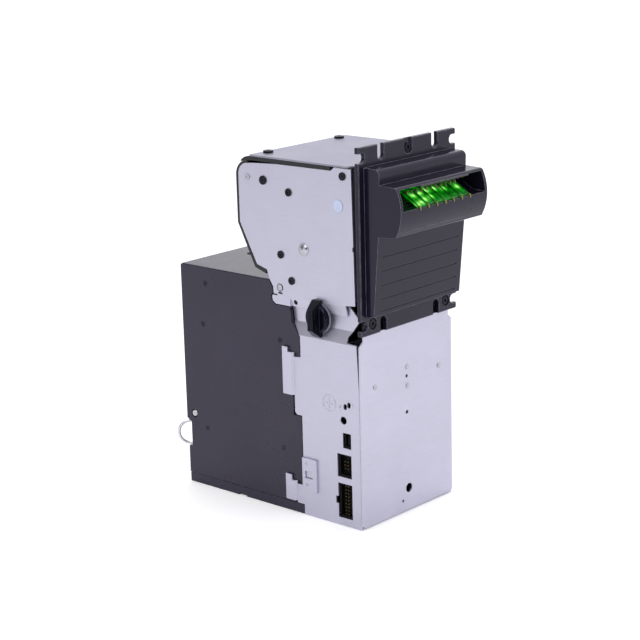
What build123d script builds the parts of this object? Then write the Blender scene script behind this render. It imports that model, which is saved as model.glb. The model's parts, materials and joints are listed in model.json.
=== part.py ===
"""Bill validator: a bezel and note-reading head on a sheet-metal stacker chassis, with a removable cash box.

Frame: +Z is up, -Y is the side where notes go in, and +X is to the right of someone facing that side,
so the lock knob is on the -X side. The origin is the centre of the chassis's bottom face. In the text below,
"depth" is measured back from the chassis's front face, and "height" from its bottom face, both in mm.
"""

import os
from math import acos, atan2, cos, degrees, hypot, pi, radians, sin, tan

from build123d import *

os.makedirs("parts", exist_ok=True)

# ---------------------------------------------------------------- driving dimensions, mm
HALF = 50.5  # half the width over the chassis, head and cash box
SHEET = 1.2  # thickness of the steel sheet
INNER = HALF - SHEET
FRONT_Y = -27.0  # where the chassis's front face lies in the frame
CHASSIS_DEPTH = 54.5
NECK_HEIGHT = 132.0  # where the chassis sides step in to form the sliding channel
RAIL_HALF = 47.3  # outside of the stepped-in rail on which the head slides
RAIL_TOP = 163.0
HEAD_LIP = 151.3  # lower edge of the head's side plates
HEAD_BEND = 158.0
BEZEL_HALF = 52.0
BEZEL_LOW = 139.3
BEZEL_TOP = 268.2
FLANGE = 3.3  # thickness of the bezel's mounting flange
HOOD_HALF = 46.8  # half width of the bezel's raised body
MOUTH_HALF = 44.5
BOX_BACK = 171.0
BOX_TOP = 168.0
BOX_FRONT = 55.2
BOX_STEP = 62.6  # the cash box makes room for the chassis's tabs in front of this depth
BOX_NECK = 49.0  # its half width there
GAP = 0.2  # clearance left between pieces that are fitted together

# Drive line: axes run along X and are given as (depth, height)
DRUM = (82.0, 214.0)
DRUM_RADIUS = 22.0
ENTRY = (16.6, 227.2)
ENTRY_RADIUS = 10.0
HEAD_MOTOR = (42.0, 214.0)
IDLER = (54.8, 214.0)
TRANSFER_HEAD = (24.8, 158.0)
TRANSFER_CHASSIS = (44.0, 158.0)
BELT_TOP = (42.0, 138.905)
BELT_LOW = (42.0, 18.0)
STACKER_SHAFT = (30.0, 80.0)
STACKER_MOTOR = (30.0, 61.6)
PRESSURE = (16.6, 242.9)
PRESSURE_RADIUS = 5.4
LID_HINGE = (99.9, 238.8)
KNOB = (36.0, 147.2)
RUN_FIT = 0.05  # radial clearance of a shaft in its bearing
MODULE = 0.8
RACK_MODULE = 1.0
PRESSURE_ANGLE = radians(25)


# ---------------------------------------------------------------- planes and simple solids
def side_plane(x):
    """Sketch plane at this x: first axis is depth, second is height, and it faces +X."""
    return Plane(origin=(x, FRONT_Y, 0), x_dir=(0, 1, 0), z_dir=(1, 0, 0))


def front_plane(depth):
    """Sketch plane at this depth: first axis is x, second is height, and it faces the user (-Y)."""
    return Plane(origin=(0, FRONT_Y + depth, 0), x_dir=(1, 0, 0), z_dir=(0, -1, 0))


def level_plane(height):
    """Sketch plane at this height: first axis is x, second is depth, and it faces up."""
    return Plane(origin=(0, FRONT_Y, height))


def prism(plane, points, amount, mode=Mode.ADD, rounds=()):
    """Extrude a closed outline of straight edges from a plane, with some (corner, radius) pairs rounded."""
    with BuildSketch(plane) as outline:
        with BuildLine():
            Polyline(*points, close=True)
        make_face()
        for corner, radius in rounds:
            fillet(outline.vertices().sort_by_distance((corner[0], corner[1], 0))[0], radius=radius)
    extrude(outline.sketch, amount=amount, mode=mode)


def block(plane, low, high, amount, mode=Mode.ADD):
    """Extrude the rectangle between two corners of a plane."""
    centre = ((low[0] + high[0]) / 2, (low[1] + high[1]) / 2)
    with BuildSketch(plane) as outline:
        with Locations(centre):
            Rectangle(high[0] - low[0], high[1] - low[1])
    extrude(outline.sketch, amount=amount, mode=mode)


def disc(plane, centre, radius, amount, mode=Mode.ADD):
    """Extrude a circle of a plane."""
    with BuildSketch(plane) as outline:
        with Locations(centre):
            Circle(radius)
    extrude(outline.sketch, amount=amount, mode=mode)


def ring(plane, centre, outer, inner, amount, mode=Mode.ADD):
    """Extrude a flat ring of a plane."""
    with BuildSketch(plane) as outline:
        with Locations(centre):
            Circle(outer)
            Circle(inner, mode=Mode.SUBTRACT)
    extrude(outline.sketch, amount=amount, mode=mode)


def oblong(plane, centre, length, width, angle, amount, mode=Mode.ADD):
    """Extrude a round-ended slot shape, turned by an angle in degrees."""
    with BuildSketch(plane) as outline:
        with Locations(centre):
            SlotOverall(length, width, rotation=angle)
    extrude(outline.sketch, amount=amount, mode=mode)


def dome(x, spot, radius, rise):
    """Spherical cap standing on the plane at this x; rise is negative towards -X."""
    sphere = (radius**2 + rise**2) / (2 * abs(rise))
    sign = 1 if rise > 0 else -1
    half_way = atan2(radius, sphere - abs(rise)) / 2
    middle = (x + rise - sign * sphere * (1 - cos(half_way)), spot[0] + sphere * sin(half_way))
    with BuildSketch(level_plane(spot[1])) as cap:
        with BuildLine():
            Polyline((x + rise, spot[0]), (x, spot[0]), (x, spot[0] + radius))
            ThreePointArc((x, spot[0] + radius), middle, (x + rise, spot[0]))
        make_face()
    revolve(cap.sketch, axis=Axis((x, FRONT_Y + spot[0], spot[1]), (1, 0, 0)))


def save(piece, name):
    """Label a finished piece and write it out as its own node."""
    piece.part.label = name
    export_step(piece.part, f"parts/{name}.step")


def save_mirrored(piece, name):
    """Write the right-hand twin of a left-hand piece."""
    with BuildPart() as twin:
        add(piece.part)
        mirror(about=Plane.YZ, mode=Mode.REPLACE)
    save(twin, name)


# ---------------------------------------------------------------- gears and belts
def involute(angle):
    return tan(angle) - angle


def gear_outline(module, teeth, phase, addendum=0.75, root=1.1, slack=0.16):
    """Points around an involute gear, with one tooth centred on the angle phase (radians)."""
    pitch = module * teeth / 2
    base = pitch * cos(PRESSURE_ANGLE)
    tip = pitch + addendum * module
    foot = pitch - root * module
    start = max(base, foot)
    half_tooth = (pi / 2 - slack / module) / teeth + involute(PRESSURE_ANGLE)
    radii = [start + (tip - start) * step / 3 for step in range(4)]
    flank = [(radius, half_tooth - involute(acos(min(1, base / radius)))) for radius in radii]
    if foot < base:
        flank.insert(0, (foot, flank[0][1]))
    tooth = [(radius, -angle) for radius, angle in flank]
    tooth += [(radius, angle) for radius, angle in reversed(flank)]
    points = []
    for index in range(teeth):
        middle = phase + 2 * pi * index / teeth
        points += [(radius * cos(middle + angle), radius * sin(middle + angle)) for radius, angle in tooth]
    return points


def mesh_phase(axis_a, teeth_a, phase_a, axis_b, teeth_b):
    """Phase of gear B so that its teeth stand in the gaps of gear A."""
    bearing = atan2(axis_b[1] - axis_a[1], axis_b[0] - axis_a[0])
    step_a = 2 * pi / teeth_a
    step_b = 2 * pi / teeth_b
    return bearing + pi - step_b * ((phase_a - bearing) / step_a + 0.5)


def gear(x, axis, teeth, phase, width, bore, module=MODULE):
    """Spur gear with its axis along X."""
    points = [(axis[0] + across, axis[1] + up) for across, up in gear_outline(module, teeth, phase)]
    prism(side_plane(x), points, width)
    if bore:
        disc(side_plane(x), axis, bore, width, Mode.SUBTRACT)


def belt(x, width, axis_a, radius_a, axis_b, radius_b, thickness):
    """Closed flat belt round two pulleys whose axes run along X."""
    with BuildSketch(side_plane(x)) as outer:
        with Locations(axis_a):
            Circle(radius_a + thickness)
        with Locations(axis_b):
            Circle(radius_b + thickness)
        make_hull()
    with BuildSketch(side_plane(x)) as inner:
        with Locations(axis_a):
            Circle(radius_a)
        with Locations(axis_b):
            Circle(radius_b)
        make_hull()
    extrude(outer.sketch, amount=width)
    extrude(inner.sketch, amount=width, mode=Mode.SUBTRACT)


def shaft(axis, radius, x_low, x_high, mode=Mode.ADD):
    """Round bar along X."""
    disc(side_plane(x_low), axis, radius, x_high - x_low, mode)


TEETH_DRUM = 48
TEETH_IDLER = 20
TEETH_PINION = 12
TEETH_TRANSFER = 24
TEETH_STACKER = 36
TEETH_STACKER_PINION = 10
TEETH_RACK_PINION = 12
PHASE_DRUM = 0.0
PHASE_IDLER = mesh_phase(DRUM, TEETH_DRUM, PHASE_DRUM, IDLER, TEETH_IDLER)
PHASE_PINION = mesh_phase(IDLER, TEETH_IDLER, PHASE_IDLER, HEAD_MOTOR, TEETH_PINION)
PHASE_TRANSFER = mesh_phase(TRANSFER_HEAD, TEETH_TRANSFER, 0.0, TRANSFER_CHASSIS, TEETH_TRANSFER)
PHASE_BELT = mesh_phase(TRANSFER_CHASSIS, TEETH_TRANSFER, PHASE_TRANSFER, BELT_TOP, TEETH_TRANSFER)
PHASE_STACKER = 0.0
PHASE_STACKER_PINION = mesh_phase(
    STACKER_SHAFT, TEETH_STACKER, PHASE_STACKER, STACKER_MOTOR, TEETH_STACKER_PINION
)


# ---------------------------------------------------------------- chassis: sheet metal
NECK_SLOPE_TOP = 141.0
TAB_OUT = HALF + 0.6  # inner face of the hooked tabs, just outside the cash box


def chassis_side_section():
    """Section of a side plate across the machine: straight, then stepped in to make the head's rail."""
    step = HALF - RAIL_HALF
    outer = [(-HALF, 0), (-HALF, NECK_HEIGHT), (-HALF + step, NECK_SLOPE_TOP), (-RAIL_HALF, RAIL_TOP)]
    inner = [(x + SHEET, height) for x, height in reversed(outer)]
    return outer + inner


CHASSIS_SIDE_OUTLINE = [
    (1.4, 0),
    (CHASSIS_DEPTH, 0),
    (CHASSIS_DEPTH, 7.4),
    (61.0, 7.4),
    (61.0, 21.5),
    (CHASSIS_DEPTH, 21.5),
    (CHASSIS_DEPTH, 73.3),
    (59.2, 73.3),
    (61.0, 75.0),
    (61.0, 115.2),
    (CHASSIS_DEPTH, 116.0),
    (CHASSIS_DEPTH, 131.0),
    (61.6, 139.6),
    (62.4, 147.7),
    (63.4, 151.0),
    (63.4, RAIL_TOP),
    (11.9, RAIL_TOP),
    (11.9, 159.1),
    (2.8, 149.8),
    (2.8, 148.3),
    (11.9, 136.6),
    (11.9, 132.8),
    (3.2, 132.4),
    (1.5, 99.7),
]


def hooked_tab(low, high, cut):
    """Tab joggled outwards, so that it laps over the cash box's side. cut is the corner it leaves out."""
    bend_start, bend_end, tip = 60.9, 62.2, 70.4
    section = [
        (-INNER, bend_start),
        (-HALF, bend_start),
        (-TAB_OUT - SHEET, bend_end),
        (-TAB_OUT - SHEET, tip),
        (-TAB_OUT, tip),
        (-TAB_OUT, bend_end + 0.5),
    ]
    prism(level_plane(low), section, high - low)
    block(side_plane(-HALF - 3), cut[0], cut[1], 6, Mode.SUBTRACT)


def chassis_side():
    """Left side plate, with its rail, its hooked tabs and the openings for the connectors."""
    with BuildPart() as plate:
        prism(front_plane(64.0), chassis_side_section(), 63.0)
        prism(side_plane(-HALF - 1), CHASSIS_SIDE_OUTLINE, 8, Mode.INTERSECT)
        hooked_tab(87.5, 122.0, ((60.9, 118.6), (65.4, 123.0)))
        hooked_tab(9.0, 28.0, ((60.9, 24.0), (64.6, 29.0)))
    return plate


CABLE_SLOTS = [(14.0, 87.4), (10.6, 89.1)]
EMBOSS = 0.3  # how far the pressed features stand out from the left plate
EMBOSS_SPOT = (29.1, 87.3)


def left_embossing():
    """Raised features pressed into the left plate: an oval, a bump and a crossed circle."""
    face = side_plane(-HALF - EMBOSS)
    oblong(face, (12.3, 88.2), 10.6, 7.6, -27, EMBOSS)
    dome(-HALF, (18.3, 85.9), 1.8, -0.7)
    ring(face, EMBOSS_SPOT, 6.3, 5.3, EMBOSS)
    for angle in (0, 90):
        oblong(face, EMBOSS_SPOT, 8.0, 0.7, angle, EMBOSS)


def left_openings():
    """Openings that only the left plate has: connector windows, cable slots and the service hole."""
    cutter = side_plane(-HALF - 1)
    deep = 4
    block(cutter, (9.6, 57.2), (17.0, 68.3), deep, Mode.SUBTRACT)
    block(cutter, (9.6, 35.6), (22.5, 52.5), deep, Mode.SUBTRACT)
    block(cutter, (9.4, 5.6), (22.3, 31.0), deep, Mode.SUBTRACT)
    block(cutter, (22.2, 15.6), (24.4, 20.9), deep, Mode.SUBTRACT)
    disc(cutter, (16.0, 77.2), 2.8, deep, Mode.SUBTRACT)
    for centre in CABLE_SLOTS:
        oblong(cutter, centre, 4.4, 3.0, 97, deep, Mode.SUBTRACT)


with BuildPart() as chassis_side_right:
    add(chassis_side().part)
    disc(side_plane(-RAIL_HALF - 1), KNOB, 4.1, 3, Mode.SUBTRACT)
with BuildPart() as chassis_side_left:
    add(chassis_side_right.part)
    left_embossing()
    left_openings()
    shaft(TRANSFER_CHASSIS, 2.0, -RAIL_HALF + SHEET - 0.2, -42.9)
save(chassis_side_left, "chassis_side_left")
save_mirrored(chassis_side_right, "chassis_side_right")

FRONT_OUTLINE = [
    (HALF, 3.0),
    (HALF, 131.6),
    (46.4, 135.0),
    (46.4, 139.1),
]
RIVET_SPOTS = [(-35.3, 100.2), (35.0, 99.8), (-0.2, 107.0), (-0.1, 93.3)]
FRONT_HOLES = {(0.3, 17.5): 3.4, (-6.5, 9.2): 1.1, (-1.0, 74.1): 1.4}

with BuildPart() as front_plate:
    left_half = [(-x, height) for x, height in reversed(FRONT_OUTLINE)]
    prism(front_plane(SHEET), [(47.8, 1.3)] + FRONT_OUTLINE + left_half + [(-47.8, 1.3)], SHEET)
    corners = front_plate.edges().filter_by(Axis.Z).filter_by_position(Axis.Z, 60, 75)
    fillet(corners.group_by(Axis.Y)[0], radius=1.0)
    for spot, radius in FRONT_HOLES.items():
        disc(front_plane(SHEET), spot, radius, SHEET, Mode.SUBTRACT)
    for spot in RIVET_SPOTS:
        disc(front_plane(SHEET), spot, 1.2, SHEET, Mode.SUBTRACT)
    disc(front_plane(SHEET), (-1.0, 100.4), 1.2, SHEET, Mode.SUBTRACT)
save(front_plate, "front_plate")

BASE_HOLE_X = 30.0
BASE_HOLE_DEPTH = 16.0
BASE_HOLE_RADIUS = 2.15
BASE_CENTRE = -FRONT_Y

with BuildPart() as base_plate:
    block(level_plane(0), (-INNER + 0.1, 1.3), (INNER - 0.1, 2 * BASE_CENTRE - 1.3), SHEET)
    for x in (-BASE_HOLE_X, BASE_HOLE_X):
        for depth in (BASE_CENTRE - BASE_HOLE_DEPTH, BASE_CENTRE + BASE_HOLE_DEPTH):
            disc(level_plane(0), (x, depth), BASE_HOLE_RADIUS, SHEET, Mode.SUBTRACT)
    for side in (-1, 1):
        block(level_plane(SHEET), (side * 48.5 - 0.6, 6), (side * 48.5 + 0.6, 48), 3.6)
save(base_plate, "base_plate")

LATCH_THICK = 1.5
LATCH_RIVETS = [(50.4, 39.3), (50.0, 23.5)]

with BuildPart() as latch_plates:
    for side in (-1, 1):
        face_x = HALF if side > 0 else -HALF - LATCH_THICK
        block(side_plane(face_x), (41.1, 18.6), (CHASSIS_DEPTH, 43.0), LATCH_THICK)
        block(side_plane(face_x), (45.0, 28.2), (52.0, 33.6), LATCH_THICK, Mode.SUBTRACT)
        lance_x = HALF if side > 0 else -HALF - 0.4
        prism(side_plane(lance_x), [(45.4, 28.7), (51.6, 28.7), (51.0, 33.1), (46.0, 33.1)], 0.4)
        for spot in LATCH_RIVETS:
            disc(side_plane(face_x), spot, 1.3, LATCH_THICK, Mode.SUBTRACT)
save(latch_plates, "latch_plates")


def dome_head(plane, centre, radius, rise):
    """Low dome on a plane, such as a rivet's head."""
    disc(plane, centre, radius, rise * 0.5)
    disc(plane, centre, radius * 0.72, rise)


with BuildPart() as chassis_rivets:
    for spot in RIVET_SPOTS:
        disc(front_plane(SHEET + 0.8), spot, 2.2, 0.8)
        disc(front_plane(SHEET), spot, 1.2, SHEET)
        dome_head(front_plane(0), spot, 2.0, 0.5)
    for low in (-HALF - LATCH_THICK + 0.3, HALF):
        for spot in LATCH_RIVETS:
            disc(side_plane(low), spot, 1.3, LATCH_THICK - 0.3)
save(chassis_rivets, "chassis_rivets")

# ---------------------------------------------------------------- chassis: stacker
FRAME_DEPTH = 50.0
WINDOW_HALF = 33.0

with BuildPart() as stacker_frame:
    frame_outline = [
        (-48.9, 2.0),
        (48.9, 2.0),
        (48.9, 126.0),
        (42.6, 126.0),
        (42.6, 150.0),
        (-42.6, 150.0),
        (-42.6, 126.0),
        (-48.9, 126.0),
    ]
    prism(front_plane(53.9), frame_outline, 53.9 - FRAME_DEPTH)
    block(front_plane(54), (-WINDOW_HALF, 21), (WINDOW_HALF, 139), 6, Mode.SUBTRACT)
    for x in (-42.6, 41.2):
        for axis in (BELT_TOP, BELT_LOW):
            block(side_plane(x), (axis[0] - 5, axis[1] - 5), (FRAME_DEPTH + 0.5, axis[1] + 5), 1.4)
            shaft(axis, 2.5 + RUN_FIT, x, x + 1.4, Mode.SUBTRACT)
save(stacker_frame, "stacker_frame")

BRACKET_LEFT = -8.0
BRACKET_RIGHT = 8.2
ROD_X = 24.0
ROD_HEIGHT = 112.0
ROD_RADIUS = 2.0

with BuildPart() as stacker_bracket:
    for x in (BRACKET_LEFT, BRACKET_RIGHT):
        block(side_plane(x), (14, SHEET), (38, 98), SHEET)
        shaft(STACKER_SHAFT, 2.0 + RUN_FIT, x, x + SHEET, Mode.SUBTRACT)
    block(level_plane(SHEET), (BRACKET_LEFT, 14), (BRACKET_RIGHT + SHEET, 38), SHEET)
    shaft(STACKER_MOTOR, 5.6, BRACKET_LEFT, BRACKET_LEFT + SHEET, Mode.SUBTRACT)
    block(front_plane(34.0), (-48.9, 100), (48.9, 124), 2.0)
    block(front_plane(34.0), (BRACKET_LEFT, 97), (BRACKET_RIGHT + SHEET, 101), 2.0)
    for x in (-ROD_X, ROD_X):
        disc(front_plane(36.0), (x, ROD_HEIGHT), 4.0, 10.0)
        disc(front_plane(36.0), (x, ROD_HEIGHT), ROD_RADIUS + RUN_FIT, 10.0, Mode.SUBTRACT)
save(stacker_bracket, "stacker_bracket")


def motor_can(axis, radius, x_low, x_high, boss_side):
    """Small direct-current motor: a flatted can with a boss at the shaft end."""
    shaft(axis, radius, x_low, x_high)
    block(side_plane(x_low), (axis[0] - 20, axis[1] + radius * 0.8), (axis[0] + 20, axis[1] + 20),
          x_high - x_low, Mode.SUBTRACT)
    block(side_plane(x_low), (axis[0] - 20, axis[1] - 20), (axis[0] + 20, axis[1] - radius * 0.8),
          x_high - x_low, Mode.SUBTRACT)
    if boss_side > 0:
        shaft(axis, 5.0, x_high, x_high + 1.0)
    shaft(axis, 1.2 + RUN_FIT, x_low + 4, x_high + 1.0, Mode.SUBTRACT)
    for offset in (-5, 5):
        block(side_plane(x_low - 2.5), (axis[0] + offset - 1, axis[1] - 0.4),
              (axis[0] + offset + 1, axis[1] + 0.4), 2.6)


with BuildPart() as stacker_motor:
    motor_can(STACKER_MOTOR, 12.0, -33.0, BRACKET_LEFT - 0.05, 1)
save(stacker_motor, "stacker_motor")

with BuildPart() as stacker_pinion:
    gear(-4.6, STACKER_MOTOR, TEETH_STACKER_PINION, PHASE_STACKER_PINION, 4.0, 0)
    shaft(STACKER_MOTOR, 1.2, -28.0, -0.6)
save(stacker_pinion, "stacker_pinion")

RACK_PITCH_HEIGHT = STACKER_SHAFT[1] + RACK_MODULE * TEETH_RACK_PINION / 2
RACK_START = 4.0
RACK_END = 45.4

with BuildPart() as stacker_gear:
    gear(-4.0, STACKER_SHAFT, TEETH_STACKER, PHASE_STACKER, 3.0, 0)
    gear(-1.0, STACKER_SHAFT, TEETH_RACK_PINION, pi / 2, 6.6, 0, RACK_MODULE)
    shaft(STACKER_SHAFT, 2.0, BRACKET_LEFT, BRACKET_RIGHT + SHEET)
    shaft(STACKER_SHAFT, 3.4, -6.6, 8.0)
save(stacker_gear, "stacker_gear")

PUSHER_DEPTH = 45.4
PUSHER_THICK = 2.2


def rack_outline():
    """Straight rack with its teeth downwards; a gap stands over the pinion's top tooth."""
    pitch = pi * RACK_MODULE
    tip = RACK_PITCH_HEIGHT - 0.75 * RACK_MODULE
    foot = RACK_PITCH_HEIGHT + 1.1 * RACK_MODULE
    slope = tan(PRESSURE_ANGLE)
    half_tooth = pitch / 4 - 0.12
    points = []
    first = int((RACK_START - STACKER_SHAFT[0]) / pitch)
    for index in range(first, 5):
        middle = STACKER_SHAFT[0] + (index + 0.5) * pitch
        foot_half = half_tooth + (foot - RACK_PITCH_HEIGHT) * slope
        tip_half = half_tooth - (RACK_PITCH_HEIGHT - tip) * slope
        points += [(middle - foot_half, foot), (middle - tip_half, tip), (middle + tip_half, tip)]
        points += [(middle + foot_half, foot)]
    return [(points[0][0], foot + 3.0)] + points + [(RACK_END, foot), (RACK_END, foot + 3.0)]


with BuildPart() as pusher_rods:
    for x in (-ROD_X, ROD_X):
        disc(front_plane(RACK_END), (x, ROD_HEIGHT), ROD_RADIUS, RACK_END - 4.0)
save(pusher_rods, "pusher_rods")

with BuildPart() as pusher_plate:
    block(front_plane(PUSHER_DEPTH + PUSHER_THICK), (-31, 24), (31, 136), PUSHER_THICK)
    fillet(pusher_plate.edges().filter_by(Axis.Y), radius=5)
    for x in (-27, -9, 9, 27):
        block(front_plane(PUSHER_DEPTH + PUSHER_THICK + 0.8), (x - 1, 32), (x + 1, 128), 0.8)
    prism(side_plane(0.0), rack_outline(), 4.4)
save(pusher_plate, "pusher_plate")

# ---------------------------------------------------------------- chassis: note belts
BELT_RADIUS = 6.0
BELT_THICK = 1.0


def belt_shaft(axis):
    """Shaft with two flanged pulleys for the note belts."""
    shaft(axis, 2.5, -45.6, 45.6)
    for side in (-1, 1):
        shaft(axis, BELT_RADIUS, side * 38.5 - 2.6, side * 38.5 + 2.6)
        for edge in (-2.6, 2.0):
            shaft(axis, BELT_RADIUS + 0.5, side * 38.5 + edge, side * 38.5 + edge + 0.6)


with BuildPart() as upper_belt_shaft:
    belt_shaft(BELT_TOP)
    gear(-45.6, BELT_TOP, TEETH_TRANSFER, PHASE_BELT, 2.6, 0)
save(upper_belt_shaft, "upper_belt_shaft")

with BuildPart() as lower_belt_shaft:
    belt_shaft(BELT_LOW)
save(lower_belt_shaft, "lower_belt_shaft")

with BuildPart() as note_belts:
    for side in (-1, 1):
        belt(side * 38.5 - 1.9, 3.8, BELT_TOP, BELT_RADIUS + 0.02, BELT_LOW, BELT_RADIUS + 0.02, BELT_THICK)
save(note_belts, "note_belts")

with BuildPart() as transfer_gear:
    gear(-45.6, TRANSFER_CHASSIS, TEETH_TRANSFER, PHASE_TRANSFER, 2.6, 2.0 + RUN_FIT)
save(transfer_gear, "transfer_gear")

# ---------------------------------------------------------------- chassis: electronics
BOARD_X = -44.0
BOARD_THICK = 1.6
MAIN_PINS = 9
POWER_PINS = 3
PIN_PITCH = 2.54

with BuildPart() as interface_board:
    block(side_plane(BOARD_X), (4.5, 6.0), (27.5, 76.0), BOARD_THICK)
    for depth, height in ((7.0, 73.5), (25.0, 73.5), (7.0, 33.3), (25.0, 10.0)):
        ring(side_plane(-INNER + 0.05), (depth, height), 2.4, 1.3, INNER - 0.05 + BOARD_X)
        disc(side_plane(BOARD_X), (depth, height), 1.3, BOARD_THICK, Mode.SUBTRACT)
save(interface_board, "interface_board")


def box_header(low, high):
    """Shrouded connector that stands on the board and reaches its window in the side plate."""
    reach = BOARD_X + INNER - 0.3
    block(side_plane(-INNER + 0.3), low, high, reach)
    block(side_plane(-INNER + 0.3), (low[0] + 1.0, low[1] + 1.0), (high[0] - 1.0, high[1] - 1.0),
          reach - 1.2, Mode.SUBTRACT)


with BuildPart() as connector_headers:
    box_header((10.0, 36.0), (22.1, 52.1))
    box_header((9.8, 6.0), (21.9, 30.6))
    box_header((10.0, 57.6), (16.6, 67.9))
    block(side_plane(-INNER + 0.8), (12.4, 59.6), (13.8, 65.9), 3.6)
save(connector_headers, "connector_headers")

with BuildPart() as header_pins:
    for rows, middle in ((POWER_PINS, 44.05), (MAIN_PINS, 18.3)):
        for row in range(rows):
            for column in (-1, 1):
                depth = 16.0 + column * PIN_PITCH / 2
                height = middle + (row - (rows - 1) / 2) * PIN_PITCH
                block(side_plane(-INNER + 1.0), (depth - 0.32, height - 0.32),
                      (depth + 0.32, height + 0.32), INNER - 2.2 + BOARD_X)
save(header_pins, "header_pins")

# ---------------------------------------------------------------- head: side plates and inner frame
HEAD_CORNER = (108.6, 247.6)
HEAD_OUTLINE = [
    (3.4, 160.0),
    (4.9, 252.9),
    (19.4, 253.1),
    (22.6, 250.5),
    (72.0, 250.2),
    (93.9, 249.0),
    HEAD_CORNER,
    (108.6, 206.0),
    (93.4, 177.4),
    (84.0, 174.8),
    (81.9, 168.4),
    (78.6, 163.3),
    (78.2, 158.6),
    (79.8, 156.4),
    (79.3, 153.3),
    (76.4, HEAD_LIP),
    (11.9, HEAD_LIP),
    (11.9, 159.1),
]
SCREWS = {(85.0, 237.8): 3.2, (61.4, 231.7): 2.8, (12.3, 247.7): 2.8, (70.3, 187.1): 2.8, (60.7, 169.7): 2.8}
DOME_SPOT = (49.0, 193.4)
STUD_SPOT = (72.0, 163.4)
CHEEK_IN = 43.6
CHEEK_OUT = 45.9
LIP_HALF = 48.9
LIP_END = 63.6
LOCK_EDGE = KNOB[0] + 2.6
LOCK_RADIUS = 9.4
PLUG_SPOT = (58.3, 154.6)


def head_side_section():
    """Section of a head side plate: straight, with its lower lip turned in towards the rail."""
    outer = [(-LIP_HALF, HEAD_LIP), (-HALF, HEAD_BEND), (-HALF, 254)]
    inner = [(x + SHEET, height) for x, height in reversed(outer)]
    return outer + inner


with BuildPart() as head_side_right:
    prism(front_plane(LIP_END), head_side_section(), LIP_END - 2)
    prism(front_plane(LIP_END), [(-HALF, HEAD_BEND), (-HALF, HEAD_LIP), (-LIP_HALF, HEAD_LIP)], 0.8)
    block(side_plane(-HALF), (LIP_END, HEAD_LIP), (110, 254), SHEET)
    prism(side_plane(-HALF - 1), HEAD_OUTLINE, 6, Mode.INTERSECT, [(HEAD_CORNER, 8.5)])
    cutter = side_plane(-HALF - 1)
    block(cutter, (3.0, 197.4), (4.9, 200.4), 4, Mode.SUBTRACT)
    block(cutter, (74.6, 157.4), (79.6, 158.4), 4, Mode.SUBTRACT)
    block(cutter, (69.8, 158.9), (73.8, 160.2), 4, Mode.SUBTRACT)
    disc(cutter, PLUG_SPOT, 1.75, 4, Mode.SUBTRACT)
    disc(cutter, ENTRY, 4.2, 4, Mode.SUBTRACT)
    for spot in SCREWS:
        disc(cutter, spot, 1.6, 4, Mode.SUBTRACT)
    for spot, radius in ((DOME_SPOT, 2.0), (STUD_SPOT, 3.0), (LID_HINGE, 1.8)):
        disc(cutter, spot, radius, 4, Mode.SUBTRACT)
with BuildPart() as head_side_left:
    add(head_side_right.part)
    with BuildSketch(side_plane(-HALF - 1)) as lock_notch:
        with Locations(KNOB):
            Circle(LOCK_RADIUS)
        with Locations((LOCK_EDGE + 10, KNOB[1])):
            Rectangle(20, 30, mode=Mode.SUBTRACT)
    extrude(lock_notch.sketch, amount=5, mode=Mode.SUBTRACT)
save(head_side_left, "head_side_left")
save_mirrored(head_side_right, "head_side_right")

BED_TOP = 236.0
BED_THICK = 2.2
CHEEK_OUTLINE = [
    (5.2, 172.0),
    (5.2, 249.0),
    (92.0, 247.5),
    (104.5, 243.0),
    (105.5, 207.0),
    (92.0, 180.5),
    (66.0, 173.0),
    (64.3, 171.5),
    (64.3, 168.5),
    (57.0, 168.5),
    (56.0, 172.0),
]

with BuildPart() as inner_frame:
    for x in (-CHEEK_OUT, CHEEK_IN):
        prism(side_plane(x), CHEEK_OUTLINE, CHEEK_OUT - CHEEK_IN)
    bed = [(5.2, BED_TOP - BED_THICK), (5.2, BED_TOP), (56.0, BED_TOP)]
    bed += [(61.0, BED_TOP - 4), (61.0, BED_TOP - 6), (56.0, BED_TOP - BED_THICK)]
    prism(side_plane(-CHEEK_IN - 0.5), bed, 2 * CHEEK_IN + 1)
    block(side_plane(-CHEEK_IN - 0.5), (5.2, 172.0), (7.4, 200.0), 2 * CHEEK_IN + 1)
    block(side_plane(-CHEEK_IN - 0.5), (10.0, 172.0), (56.0, 174.2), 2 * CHEEK_IN + 1)
    block(side_plane(-39.8), (24.0, 171.0), (57.0, 175.0), 5.6, Mode.SUBTRACT)
    block(side_plane(36.0), (24.0, 173.0), (63.0, BED_TOP - 1), 1.7)
    block(side_plane(-42.4), (14.0, 150.5), (36.0, 174.0), 1.6)
    for side in (-1, 1):
        for spot in SCREWS:
            x = -INNER + 0.1 if side < 0 else CHEEK_OUT - 0.3
            disc(side_plane(x), spot, 3.0, INNER - 0.1 - CHEEK_OUT + 0.3)
    for x in (-22.0, 22.0):
        block(level_plane(230), (x - 6, 5.9), (x + 6, 27.3), 8, Mode.SUBTRACT)
    shaft(DRUM, 3.0 + RUN_FIT, -CHEEK_OUT, CHEEK_OUT, Mode.SUBTRACT)
    shaft(ENTRY, 2.5 + RUN_FIT, -CHEEK_OUT, CHEEK_OUT, Mode.SUBTRACT)
    shaft(LID_HINGE, 1.8, -CHEEK_OUT, CHEEK_OUT, Mode.SUBTRACT)
    shaft(TRANSFER_HEAD, 2.5 + RUN_FIT, -42.4, -40.8, Mode.SUBTRACT)
    shaft(HEAD_MOTOR, 5.6, 36.0, 37.7, Mode.SUBTRACT)
    shaft(IDLER, 2.0, 37.7, CHEEK_IN + 0.1)
save(inner_frame, "inner_frame")

SHELL_CORNER = (110.9, 250.2)
SHELL_INNER_CORNER = (108.8, 248.6)
SHELL_OUTER = [(99.5, 250.2), SHELL_CORNER, (110.7, 205.4), (95.2, 174.9), (84.9, 171.6)]
SHELL_INNER = [(84.6, 174.8), (93.7, 177.2), (108.8, 205.9), SHELL_INNER_CORNER, (99.5, 248.6)]
GUIDE_INNER = DRUM_RADIUS + 1.4

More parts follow.
